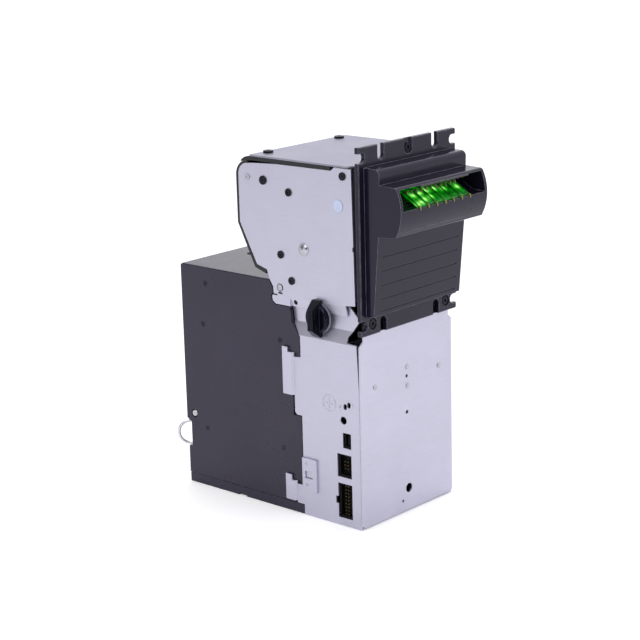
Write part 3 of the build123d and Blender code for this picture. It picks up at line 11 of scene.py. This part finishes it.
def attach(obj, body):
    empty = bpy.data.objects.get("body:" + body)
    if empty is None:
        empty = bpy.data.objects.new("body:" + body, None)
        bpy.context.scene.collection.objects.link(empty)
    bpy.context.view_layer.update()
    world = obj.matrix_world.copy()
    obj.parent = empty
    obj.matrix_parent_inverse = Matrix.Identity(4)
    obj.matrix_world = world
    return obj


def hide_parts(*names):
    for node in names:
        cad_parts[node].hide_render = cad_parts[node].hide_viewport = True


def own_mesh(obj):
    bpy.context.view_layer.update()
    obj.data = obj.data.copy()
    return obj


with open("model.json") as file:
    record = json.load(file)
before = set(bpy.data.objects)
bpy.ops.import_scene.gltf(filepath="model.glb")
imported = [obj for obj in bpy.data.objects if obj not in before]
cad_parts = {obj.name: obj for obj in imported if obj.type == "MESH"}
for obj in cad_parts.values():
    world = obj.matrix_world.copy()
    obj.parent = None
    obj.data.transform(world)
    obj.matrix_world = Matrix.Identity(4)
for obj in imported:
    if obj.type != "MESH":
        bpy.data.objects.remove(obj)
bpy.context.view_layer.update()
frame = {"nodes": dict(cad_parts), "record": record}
NODES = frame["nodes"]
MM = 0.001
FRONT_Y = -27.0  # the chassis's front face, mm


def at(x, depth, height):
    """Point given as x, depth behind the chassis's front face and height, all in mm."""
    return Vector((x * MM, (FRONT_Y + depth) * MM, height * MM))


# ---------------------------------------------------------------- materials
class Tree:
    """Short hand for building one node material."""

    def __init__(self, name):
        self.material = bpy.data.materials.new(name)
        self.material.use_nodes = True
        self.tree = self.material.node_tree
        self.tree.nodes.clear()
        self.out = self.node("ShaderNodeOutputMaterial")
        self.coords = self.node("ShaderNodeTexCoord").outputs["Object"]

    def node(self, kind, **settings):
        made = self.tree.nodes.new(kind)
        for key, value in settings.items():
            setattr(made, key, value)
        return made

    def put(self, value, socket):
        if isinstance(value, bpy.types.NodeSocket):
            self.tree.links.new(value, socket)
        elif isinstance(value, (tuple, list)) and len(value) == 3 and socket.type == "RGBA":
            socket.default_value = (*value, 1.0)
        else:
            socket.default_value = value

    def math(self, operation, a, b=0.0, clamp=False):
        made = self.node("ShaderNodeMath", operation=operation, use_clamp=clamp)
        self.put(a, made.inputs[0])
        self.put(b, made.inputs[1])
        return made.outputs[0]

    def noise(self, scale, detail=3.0, rough=0.55, stretch=(1, 1, 1)):
        mapping = self.node("ShaderNodeMapping")
        self.put(self.coords, mapping.inputs["Vector"])
        mapping.inputs["Scale"].default_value = stretch
        made = self.node("ShaderNodeTexNoise")
        self.put(mapping.outputs[0], made.inputs["Vector"])
        made.inputs["Scale"].default_value = scale
        made.inputs["Detail"].default_value = detail
        made.inputs["Roughness"].default_value = rough
        return made.outputs["Fac"]

    def remap(self, value, low, high, new_low, new_high):
        made = self.node("ShaderNodeMapRange")
        self.put(value, made.inputs["Value"])
        for key, number in (("From Min", low), ("From Max", high), ("To Min", new_low), ("To Max", new_high)):
            made.inputs[key].default_value = number
        return made.outputs[0]

    def mix(self, factor, a, b):
        made = self.node("ShaderNodeMix", data_type="RGBA")
        self.put(factor, made.inputs["Factor"])
        self.put(a, made.inputs[6])
        self.put(b, made.inputs[7])
        return made.outputs[2]

    def edge_mask(self, radius, reach=0.10):
        """1 on sharp edges and 0 on flats, from how far a bevelled normal leans away."""
        bevel = self.node("ShaderNodeBevel", samples=4)
        bevel.inputs["Radius"].default_value = radius
        geometry = self.node("ShaderNodeNewGeometry")
        dot = self.node("ShaderNodeVectorMath", operation="DOT_PRODUCT")
        self.put(bevel.outputs[0], dot.inputs[0])
        self.put(geometry.outputs["Normal"], dot.inputs[1])
        return self.remap(dot.outputs["Value"], 1.0, 1.0 - reach, 0.0, 1.0)

    def bump(self, height, strength, distance, bevel):
        edge = self.node("ShaderNodeBevel", samples=4)
        edge.inputs["Radius"].default_value = bevel
        made = self.node("ShaderNodeBump")
        self.put(height, made.inputs["Height"])
        self.put(edge.outputs[0], made.inputs["Normal"])
        made.inputs["Strength"].default_value = strength
        made.inputs["Distance"].default_value = distance
        return made.outputs[0]

    def principled(self, **inputs):
        made = self.node("ShaderNodeBsdfPrincipled")
        for key, value in inputs.items():
            self.put(value, made.inputs[key.replace("_", " ")])
        self.put(made.outputs[0], self.out.inputs["Surface"])
        return made


def darker(color, factor):
    return tuple(channel * factor for channel in color)


def sheet_metal(name, color, rough=0.42, metal=0.85, streak=(1, 1, 30), bevel=0.0003, wear=0.5):
    """Zinc-plated rolled sheet: faint rolling lines, cloudy plating and bright cut edges."""
    t = Tree(name)
    cloud = t.noise(28, 4.0)
    lines = t.noise(60, 2.0, 0.7, streak)
    speck = t.noise(900, 2.0)
    tone = t.math("ADD", t.math("MULTIPLY", cloud, 0.6), t.math("MULTIPLY", lines, 0.4))
    base = t.mix(t.remap(tone, 0.35, 0.65, 0.0, 1.0), darker(color, 0.93), darker(color, 1.04))
    edges = t.math("MULTIPLY", t.edge_mask(bevel * 1.6), t.remap(t.noise(160), 0.4, 0.65, 0.25, 1.0))
    base = t.mix(t.math("MULTIPLY", edges, wear), base, (0.86, 0.86, 0.88))
    uneven = t.math("ADD", cloud, t.math("MULTIPLY", speck, 0.4))
    roughness = t.remap(uneven, 0.5, 0.95, rough - 0.07, rough + 0.09)
    height = t.math("ADD", t.math("MULTIPLY", lines, 0.5), t.math("MULTIPLY", speck, 0.5))
    normal = t.bump(height, 0.12, 0.0002, bevel)
    t.principled(Base_Color=base, Metallic=metal, Roughness=roughness, Normal=normal)
    return t.material


def coated_metal(name, color, rough=0.34, bevel=0.0004, ior=1.5, tint=(1, 1, 1)):
    """Dark powder-like coat with a fine orange-peel and rubbed, slightly paler edges."""
    t = Tree(name)
    cloud = t.noise(22, 4.0)
    peel = t.noise(1400, 2.0)
    rub = t.noise(9, 5.0, 0.6)
    base = t.mix(t.remap(cloud, 0.35, 0.65, 0.0, 1.0), darker(color, 0.85), darker(color, 1.15))
    edges = t.math("MULTIPLY", t.edge_mask(bevel * 1.5), t.remap(t.noise(120), 0.42, 0.66, 0.1, 1.0))
    base = t.mix(t.math("MULTIPLY", edges, 0.35), base, (0.22, 0.22, 0.25))
    roughness = t.remap(rub, 0.35, 0.7, rough - 0.06, rough + 0.10)
    normal = t.bump(peel, 0.16, 0.0001, bevel)
    t.principled(Base_Color=base, Roughness=roughness, IOR=ior, Specular_Tint=tint, Normal=normal)
    return t.material


def plastic(name, color, rough=0.4, grain=1500, depth=0.14, bevel=0.0004, edge_wear_and_highlight=(0.16, 0.16, 0.17), shine=0.22,
            ior=1.48, tint=(1, 1, 1), panel_without_edge_highlight=None):
    """Moulded plastic: fine spark-eroded grain, uneven gloss and lighter edges: wear from handling, and on the
    bezel and the knob a painted highlight.

    The panel argument is (half width, middle height, half height) of a panel whose edges get almost none of
    the painted edge highlight, in mm.
    """
    t = Tree(name)
    cloud = t.noise(35, 3.0)
    fine = t.noise(grain, 2.0)
    base = t.mix(t.remap(cloud, 0.35, 0.65, 0.0, 1.0), darker(color, 0.88), darker(color, 1.12))
    # Lighter edges: wear from handling, and a painted highlight where shine is high, as on the bezel and the
    # knob
    edges = t.math("MULTIPLY", t.edge_mask(bevel * 1.4), t.remap(t.noise(140), 0.35, 0.65, 0.45, 1.0))
    # Inside the panel the painted edge highlight is cut almost away, so its grooves stay dark
    if panel_without_edge_highlight:
        split = t.node("ShaderNodeSeparateXYZ")
        t.put(t.coords, split.inputs[0])
        inside = None
        for axis, middle, half in ((0, 0.0, panel_without_edge_highlight[0]), (2, panel_without_edge_highlight[1], panel_without_edge_highlight[2])):
            near = t.math("ABSOLUTE", t.math("SUBTRACT", split.outputs[axis], middle * MM))
            near = t.math("LESS_THAN", near, half * MM)
            inside = near if inside is None else t.math("MULTIPLY", inside, near)
        edges = t.math("MULTIPLY", edges, t.remap(inside, 0.0, 1.0, 1.0, 0.08))
    base = t.mix(t.math("MULTIPLY", edges, shine), base, edge_wear_and_highlight)
    uneven = t.math("ADD", cloud, t.math("MULTIPLY", fine, 0.3))
    roughness = t.remap(uneven, 0.45, 0.85, rough - 0.06, rough + 0.08)
    normal = t.bump(fine, depth, 0.0001, bevel)
    t.principled(Base_Color=base, Roughness=roughness, IOR=ior, Specular_Tint=tint, Normal=normal)
    return t.material


def polished(name, color, rough=0.16, bevel=0.0003):
    """Bright turned or plated metal with hairline scratches."""
    t = Tree(name)
    hair = t.noise(260, 2.0, 0.7, (1, 1, 8))
    cloud = t.noise(90, 3.0)
    base = t.mix(t.remap(cloud, 0.35, 0.65, 0.0, 1.0), darker(color, 0.9), darker(color, 1.05))
    roughness = t.remap(hair, 0.3, 0.7, rough - 0.05, rough + 0.08)
    t.principled(Base_Color=base, Metallic=1.0, Roughness=roughness, Normal=t.bump(hair, 0.06, 0.0001, bevel))
    return t.material


def rubber(name, color, rough=0.75, bevel=0.0003):
    """Soft rubber with a ground, slightly dusty face."""
    t = Tree(name)
    ground = t.noise(700, 3.0, 0.7)
    dust = t.noise(40, 4.0)
    base = t.mix(t.remap(dust, 0.45, 0.75, 0.0, 0.35), color, (0.17, 0.165, 0.16))
    roughness = t.remap(ground, 0.3, 0.7, rough - 0.08, rough + 0.1)
    t.principled(Base_Color=base, Roughness=roughness, Normal=t.bump(ground, 0.3, 0.0001, bevel))
    return t.material


def board(name):
    """Printed circuit board: green mask over faint copper tracks on a grid, with a glossy skin."""
    t = Tree(name)
    split = t.node("ShaderNodeSeparateXYZ")
    t.put(t.coords, split.inputs[0])
    tracks = t.node("ShaderNodeTexBrick")
    t.put(t.coords, tracks.inputs["Vector"])
    tracks.inputs["Scale"].default_value = 320
    tracks.inputs["Mortar Size"].default_value = 0.06
    t.put((0.010, 0.13, 0.05), tracks.inputs["Color1"])
    t.put((0.014, 0.17, 0.065), tracks.inputs["Color2"])
    t.put((0.05, 0.30, 0.12), tracks.inputs["Mortar"])
    base = t.mix(t.remap(t.noise(60), 0.35, 0.65, 0.0, 0.5), tracks.outputs["Color"], (0.008, 0.10, 0.04))
    roughness = t.remap(t.noise(300), 0.3, 0.7, 0.22, 0.38)
    normal = t.bump(tracks.outputs["Fac"], 0.2, 0.0001, 0.0002)
    t.principled(Base_Color=base, Roughness=roughness, Normal=normal)
    return t.material


# Lamps under the runway, in two rows, as (x, depth, height)
LED_SPOTS = [(-26, -32.0, 230.2), (-21, -31.0, 230.8), (-15, -29.5, 231.8), (-8, -28.5, 232.3)]
LED_SPOTS += [(-22, -24.5, 234.6), (-14, -24.0, 234.9), (-6, -23.0, 235.5)]
LED_SPOTS += [(2, -23.0, 235.5), (10, -24.5, 234.6), (24, -26.0, 233.8)]
# Ribs that dim the light, as (half pitch, half width, share of the light left), in metres
DIM_RIBS = [(0.0045, 0.0005, 0.15), (0.00225, 0.0002, 0.5), (0.00075, 0.0, 0.6)]
RIB_FADE = 0.0005
FIRST_RIB = 0.027  # how far the middle of the first rib is from the middle of the part
HOOK_DEPTHS = (-33.6, -33.2)  # the light fades out between these depths, at the roots of the hooks


def light_plate(name):
    """Green translucent runway: moulded ribs, a soft glow and hot spots over its lamps."""
    t = Tree(name)
    glow = None
    for x, depth, height in LED_SPOTS:
        away = t.node("ShaderNodeVectorMath", operation="DISTANCE")
        t.put(t.coords, away.inputs[0])
        away.inputs[1].default_value = at(x, depth, height)
        falloff = t.remap(away.outputs["Value"], 0.0008, 0.0050, 1.0, 0.0)
        falloff = t.math("POWER", falloff, 2.0)
        glow = falloff if glow is None else t.math("ADD", glow, falloff)
    haze = t.noise(240, 3.0)
    glow = t.math("MINIMUM", glow, 1.0)
    color = t.mix(t.math("POWER", glow, 1.4), (0.0, 0.60, 0.002), (0.42, 1.0, 0.22))
    strength = t.math("ADD", t.remap(haze, 0.35, 0.65, 0.04, 0.45), t.math("MULTIPLY", glow, 1.3))
    split = t.node("ShaderNodeSeparateXYZ")
    t.put(t.coords, split.inputs[0])
    across = t.math("ADD", split.outputs[0], FIRST_RIB)
    for half_pitch, half_rib, left_over in DIM_RIBS:
        beside = t.math("PINGPONG", across, half_pitch)
        dimmed = t.remap(beside, half_rib, half_rib + RIB_FADE, left_over, 1.0)
        strength = t.math("MULTIPLY", strength, dimmed)
    ends, roots = (at(0, depth, 0).y for depth in HOOK_DEPTHS)
    hooks = t.remap(split.outputs[1], ends, roots, 1.0, 0.0)
    strength = t.math("MULTIPLY", strength, t.remap(hooks, 0.0, 1.0, 1.0, 0.08))
    ribs = t.noise(500, 2.0, 0.5, (1, 0.05, 0.05))
    base = t.mix(haze, (0.001, 0.05, 0.002), (0.003, 0.12, 0.006))
    t.principled(
        Base_Color=t.mix(hooks, base, (0.17, 0.19, 0.03)),
        Roughness=t.remap(haze, 0.3, 0.7, 0.18, 0.32),
        Emission_Color=color,
        Emission_Strength=strength,
        Normal=t.bump(ribs, 0.35, 0.0003, 0.0003),
    )
    return t.material


# Pale bluish colour painted on the bezel's edges as a highlight
BEZEL_EDGE_HIGHLIGHT = (0.36, 0.36, 0.44)
BLUISH = (0.86, 0.82, 1.0)
FINISH = {
    "zinc_plate": sheet_metal("zinc_plate", (0.60, 0.585, 0.70), 0.38),
    "bright_fastener": polished("bright_fastener", (0.52, 0.52, 0.57), 0.16),
    "black_screw": coated_metal("black_screw", (0.004, 0.004, 0.008), 0.3, ior=1.3, tint=BLUISH),
    "dark_box_paint": coated_metal(
        "dark_box_paint", (0.0145, 0.0115, 0.029), 0.27, ior=1.5, tint=(0.97, 0.94, 1.0)
    ),
    "box_rivet": coated_metal("box_rivet", (0.012, 0.011, 0.018), 0.2, ior=1.35),
    "black_plastic": plastic("black_plastic", (0.010, 0.010, 0.013), 0.42),
    "bezel_plastic": plastic(
        "bezel_plastic", (0.008, 0.0065, 0.015), 0.17, depth=0.07, bevel=0.00026, edge_wear_and_highlight=BEZEL_EDGE_HIGHLIGHT, shine=1.0,
        ior=1.43, tint=BLUISH, panel_without_edge_highlight=(41.2, 176.0, 21.5),
    ),
    # The knob's blue-grey edges are a painted highlight
    "knob_plastic": plastic(
        "knob_plastic", (0.002, 0.002, 0.005), 0.14, depth=0.05, bevel=0.0005, edge_wear_and_highlight=(0.05, 0.055, 0.09),
        shine=0.7, ior=1.25, tint=(0.80, 0.82, 1.0),
    ),
    "green_light_plate": light_plate("green_light_plate"),
    "white_bush": plastic("white_bush", (0.50, 0.56, 0.74), 0.4, edge_wear_and_highlight=(0.8, 0.8, 0.8)),
    "gear_plastic": plastic("gear_plastic", (0.70, 0.68, 0.60), 0.4, edge_wear_and_highlight=(0.85, 0.84, 0.8)),
    "shaft_steel": polished("shaft_steel", (0.58, 0.58, 0.61), 0.24),
    "roller_rubber": rubber("roller_rubber", (0.016, 0.016, 0.017)),
    "belt_rubber": rubber("belt_rubber", (0.012, 0.012, 0.013), 0.65),
    "motor_can": sheet_metal("motor_can", (0.55, 0.55, 0.58), 0.32, 1.0),
    "circuit_board": board("circuit_board"),
    "connector_plastic": plastic("connector_plastic", (0.003, 0.003, 0.004), 0.45, shine=0.1, ior=1.25),
    "black_board": plastic("black_board", (0.004, 0.004, 0.005), 0.4),
    "knob_collar": plastic("knob_collar", (0.20, 0.21, 0.27), 0.3),
    "gold_pin": polished("gold_pin", (0.26, 0.18, 0.07), 0.3),
    "polished_ring": polished("polished_ring", (0.78, 0.78, 0.82), 0.1),
}

for entry in frame["record"]["subparts"]:
    node = NODES[entry["node"]]
    finish = FINISH[entry["material_slot"]]
    if not node.material_slots:
        node.data.materials.append(finish)
    for material_slot in node.material_slots:
        material_slot.material = finish


top_sheet = sheet_metal("top_sheet", (0.345, 0.34, 0.42))
for material_slot in NODES["top_cover"].material_slots:
    material_slot.material = top_sheet


# ---------------------------------------------------------------- details too small for the model
def finish_piece(name, mesh, finish, body, bevel=0.0):
    """Show a finished mesh as its own piece, riding on one body."""
    made = bpy.data.objects.new(name, mesh)
    mesh.materials.append(finish)
    bpy.context.scene.collection.objects.link(made)
    if bevel:
        softener = made.modifiers.new("bevel", "BEVEL")
        softener.width = bevel
        softener.segments = 2
    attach(made, body)
    return made


def blocks(name, corners, finish, body, bevel=0.0001, taper=0.0):
    """Row of boxes, each between two (x, depth, height) corners; taper narrows their tops."""
    work = bmesh.new()
    for low, high in corners:
        middle = tuple((a + b) / 2 for a, b in zip(low, high))
        made = bmesh.ops.create_cube(work, size=1.0)["verts"]
        for vertex in made:
            narrow = 1.0 - taper if vertex.co.z > 0 else 1.0
            size = (high[0] - low[0], high[1] - low[1], high[2] - low[2])
            vertex.co = at(
                middle[0] + vertex.co.x * size[0] * narrow,
                middle[1] + vertex.co.y * size[1] * narrow,
                middle[2] + vertex.co.z * size[2],
            )
    mesh = bpy.data.meshes.new(name)
    work.to_mesh(mesh)
    work.free()
    return finish_piece(name, mesh, finish, body, bevel)


def wire(name, stops, radius, finish, body, sides=10, steps=10):
    """Round wire drawn smoothly through (x, depth, height) points."""
    points = [at(*stop) for stop in stops]
    points = [points[0] * 2 - points[1]] + points + [points[-1] * 2 - points[-2]]
    path = []
    for a, b, c, d in zip(points, points[1:], points[2:], points[3:]):
        for step in range(steps):
            u = step / steps
            square = (2 * a - 5 * b + 4 * c - d) * u**2
            cube = (3 * b - a - 3 * c + d) * u**3
            path.append(0.5 * (2 * b + (c - a) * u + square + cube))
    path.append(points[-2])
    work = bmesh.new()
    rings = []
    side = Vector((0.31, 0.87, 0.38))
    for index, point in enumerate(path):
        along = (path[min(index + 1, len(path) - 1)] - path[max(index - 1, 0)]).normalized()
        side = (side - along * side.dot(along)).normalized()
        other = along.cross(side)
        turns = [2 * pi * turn / sides for turn in range(sides)]
        rings.append([work.verts.new(point + radius * MM * (side * cos(t) + other * sin(t))) for t in turns])
    for first, second in zip(rings, rings[1:]):
        for turn in range(sides):
            after = (turn + 1) % sides
            work.faces.new((first[turn], first[after], second[after], second[turn]))
    work.faces.new(list(reversed(rings[0])))
    work.faces.new(rings[-1])
    for face in work.faces:
        face.smooth = True
    mesh = bpy.data.meshes.new(name)
    work.to_mesh(mesh)
    work.free()
    return finish_piece(name, mesh, finish, body)


olive = plastic("comb_plastic", (0.17, 0.17, 0.08), 0.35, edge_wear_and_highlight=(0.45, 0.46, 0.30))
lip_grey = plastic("lip_grey", (0.06, 0.06, 0.065), 0.3)
red_wire = plastic("red_wire", (0.45, 0.015, 0.012), 0.4, edge_wear_and_highlight=(0.5, 0.05, 0.04))
black_wire = plastic("black_wire", (0.012, 0.012, 0.013), 0.4)
chip_body = plastic("chip_body", (0.010, 0.010, 0.011), 0.5, edge_wear_and_highlight=(0.05, 0.05, 0.05))
lens_clear = plastic("sensor_lens", (0.30, 0.02, 0.05), 0.12, edge_wear_and_highlight=(0.4, 0.1, 0.12))
solder = polished("solder", (0.72, 0.72, 0.74), 0.25)

COMB_TEETH = 11
comb_step = 52.0 / (COMB_TEETH - 1)
comb = [-26.0 + comb_step * index for index in range(COMB_TEETH)]
blocks(
    "throat_comb",
    [((x - 0.6, -23.4, 234.6), (x + 0.6, -20.4, 237.7)) for x in comb],
    olive, "head", 0.00015, 0.35,
)
lip = [((-19.0, -29.2, 240.2), (33.0, -26.5, 241.9))]
lip += [((x - 0.4, -29.4, 239.7), (x + 0.4, -27.0, 240.3)) for x in comb if x > -18]
blocks("lip_comb", lip, lip_grey, "head", 0.00015)

chips = [((-24.0, 34.0, 229.58), (-16.0, 42.0, 230.9)), ((4.0, 36.0, 229.58), (16.0, 40.5, 231.0))]
chips += [((-8.0, 47.0, 229.58), (-2.0, 53.0, 230.7))]
blocks("board_chips", chips, chip_body, "head")
legs = []
for low, high in chips:
    count = int((high[0] - low[0]) / 1.27)
    for index in range(count):
        x = low[0] + 0.9 + index * 1.27
        legs.append(((x - 0.2, low[1] - 0.8, 229.58), (x + 0.2, low[1] + 0.1, 230.0)))
        legs.append(((x - 0.2, high[1] - 0.1, 229.58), (x + 0.2, high[1] + 0.8, 230.0)))
blocks("chip_legs", legs, solder, "head", 0.00004)
lenses = [((x - 1.5, 48.0, 229.58), (x + 1.5, 51.0, 232.4)) for x in (-26.0, 22.0)]
blocks("sensor_lenses", lenses, lens_clear, "head", 0.0004, 0.25)

WIRE_RADIUS = 0.55
WIRES = {
    "head_wire_red": [(5.6, 37.0, 214.0), (2.0, 36.0, 216.5), (0.0, 38.0, 222.5), (0.0, 42.0, 227.8)],
    "head_wire_black": [(5.6, 47.0, 214.0), (1.5, 48.0, 216.5), (-1.5, 46.0, 222.5), (-1.5, 44.0, 227.8)],
    "stacker_wire_red": [(-35.4, 25.0, 61.6), (-38.0, 23.0, 61.0), (-40.0, 20.0, 58.0), (-42.3, 18.0, 55.0)],
    "stacker_wire_black": [(-35.4, 35.0, 61.6), (-38.2, 32.0, 64.0), (-40.0, 26.0, 66.0), (-42.3, 20.0, 64.0)],
}
for name, stops in WIRES.items():
    color = red_wire if name.endswith("red") else black_wire
    wire(name, stops, WIRE_RADIUS, color, "head" if name.startswith("head") else "chassis")


# The box's spring, which shortens as the stack plate is pushed back, as its own mesh riding on the cashbox in
# place of the model's spring
solid = NODES["pressure_spring"]
spring = bpy.data.objects.new("coil_spring", solid.data.copy())
spring.matrix_world = solid.matrix_world.copy()
bpy.context.scene.collection.objects.link(spring)
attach(spring, "cashbox")
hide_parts("pressure_spring")
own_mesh(spring)

# ---------------------------------------------------------------- studio
floor_tree = Tree("studio_floor")
seen_directly = floor_tree.node("ShaderNodeLightPath").outputs["Is Camera Ray"]
floor_tree.principled(
    Base_Color=floor_tree.mix(floor_tree.noise(3.0), (0.93, 0.93, 0.935), (0.95, 0.95, 0.95)),
    Roughness=floor_tree.remap(floor_tree.noise(12.0), 0.3, 0.7, 0.6, 0.75),
    Emission_Color=(1.0, 1.0, 1.0),
    Emission_Strength=floor_tree.math("MULTIPLY", seen_directly, 0.24),
)
FLOOR_REACH = 30.0
FLOOR_GAP = 0.0003  # keeps the floor clear of the part's underside
corners = [(-1, -1), (1, -1), (1, 1), (-1, 1)]
floor_mesh = bpy.data.meshes.new("floor")
floor_mesh.from_pydata([(x * FLOOR_REACH, y * FLOOR_REACH, 0) for x, y in corners], [], [(0, 1, 2, 3)])
floor = bpy.data.objects.new("floor", floor_mesh)
floor.location.z = -FLOOR_GAP
floor_mesh.materials.append(floor_tree.material)
bpy.context.scene.collection.objects.link(floor)

world = bpy.data.worlds.new("studio")
world.use_nodes = True
bpy.context.scene.world = world

# Mirror-like parts see a room that is darker behind the camera and at one side, and brighter at the far
# side, so that they show some contrast. Each patch is (direction, outer edge, core, brightness).
ROOM_PATCHES = [
    ((-0.72, -0.65, 0.25), 0.72, 0.95, 0.10),
    ((-0.71, 0.65, 0.26), 0.80, 0.97, 0.30),
    ((0.72, 0.65, 0.25), 0.78, 0.96, 1.22),
]
shader = world.node_tree


def world_node(kind, *inputs, **settings):
    """New node of the world's tree, with sockets linked to its first inputs and other values set on them."""
    made = shader.nodes.new(kind)
    for key, value in settings.items():
        setattr(made, key, value)
    for socket, value in zip(made.inputs, inputs):
        if isinstance(value, bpy.types.NodeSocket):
            shader.links.new(value, socket)
        else:
            socket.default_value = value
    return made


seen = world_node("ShaderNodeTexCoord").outputs["Generated"]
level = 1.0
for direction, edge, core, brightness in ROOM_PATCHES:
    facing = world_node("ShaderNodeVectorMath", seen, direction, operation="DOT_PRODUCT").outputs["Value"]
    limits = (edge, core, 1.0, brightness)
    patch = world_node("ShaderNodeMapRange", facing, *limits, interpolation_type="SMOOTHSTEP")
    level = world_node("ShaderNodeMath", level, patch.outputs[0], operation="MULTIPLY").outputs[0]
rays = world_node("ShaderNodeLightPath").outputs
lighting = shader.nodes["Background"]
lighting.inputs["Color"].default_value = (0.965, 0.965, 1.0, 1.0)
lighting.inputs["Strength"].default_value = 0.85
room = world_node("ShaderNodeBackground", (0.955, 0.96, 1.0, 1.0), level)
backdrop = world_node("ShaderNodeBackground", (1.0, 1.0, 1.0, 1.0), 1.05)
lit = world_node("ShaderNodeMixShader", rays["Is Glossy Ray"], lighting.outputs[0], room.outputs[0])
shown = world_node("ShaderNodeMixShader", rays["Is Camera Ray"], lit.outputs[0], backdrop.outputs[0])
shader.links.new(shown.outputs[0], shader.nodes["World Output"].inputs["Surface"])

PART_MIDDLE = (0, 0, 0.13)


def softbox(name, place, size, power):
    """Soft rectangular light pointed at the middle of the part."""
    light = bpy.data.lights.new(name, "AREA")
    light.shape = "RECTANGLE"
    light.size, light.size_y = size
    light.energy = power
    holder = bpy.data.objects.new(name, light)
    holder.location = place
    holder.rotation_euler = (Vector(PART_MIDDLE) - Vector(place)).to_track_quat("-Z", "Y").to_euler()
    bpy.context.scene.collection.objects.link(holder)


softbox("key", (-1.6, -0.5, 1.5), (1.3, 1.0), 9)
softbox("front_fill", (0.5, -1.8, 1.0), (1.2, 1.0), 5)
softbox("top", (0.2, 0.3, 1.9), (1.4, 1.4), 8)
bpy.context.scene.view_settings.view_transform = "Standard"

# ---------------------------------------------------------------- camera
CAMERA_AT = (-0.94949, -0.80133, 0.46362)
AZIMUTH, ELEVATION, ROLL = radians(-47.99), radians(14.72), radians(-1.464)
back = Vector((sin(AZIMUTH) * cos(ELEVATION), -cos(AZIMUTH) * cos(ELEVATION), sin(ELEVATION)))
right = Vector((cos(AZIMUTH), sin(AZIMUTH), 0))
up = back.cross(right)
rolled_right = cos(ROLL) * right + sin(ROLL) * up
rolled_up = -sin(ROLL) * right + cos(ROLL) * up
FOCAL_LENGTH, SENSOR_WIDTH = 102.73, 36.0
lens = bpy.data.cameras.new("camera")
lens.lens = FOCAL_LENGTH
lens.sensor_width = SENSOR_WIDTH
camera = bpy.data.objects.new("camera", lens)
turn = Matrix((rolled_right, rolled_up, back)).transposed().to_4x4()
camera.matrix_world = Matrix.Translation(CAMERA_AT) @ turn
bpy.context.scene.collection.objects.link(camera)
bpy.context.scene.camera = camera
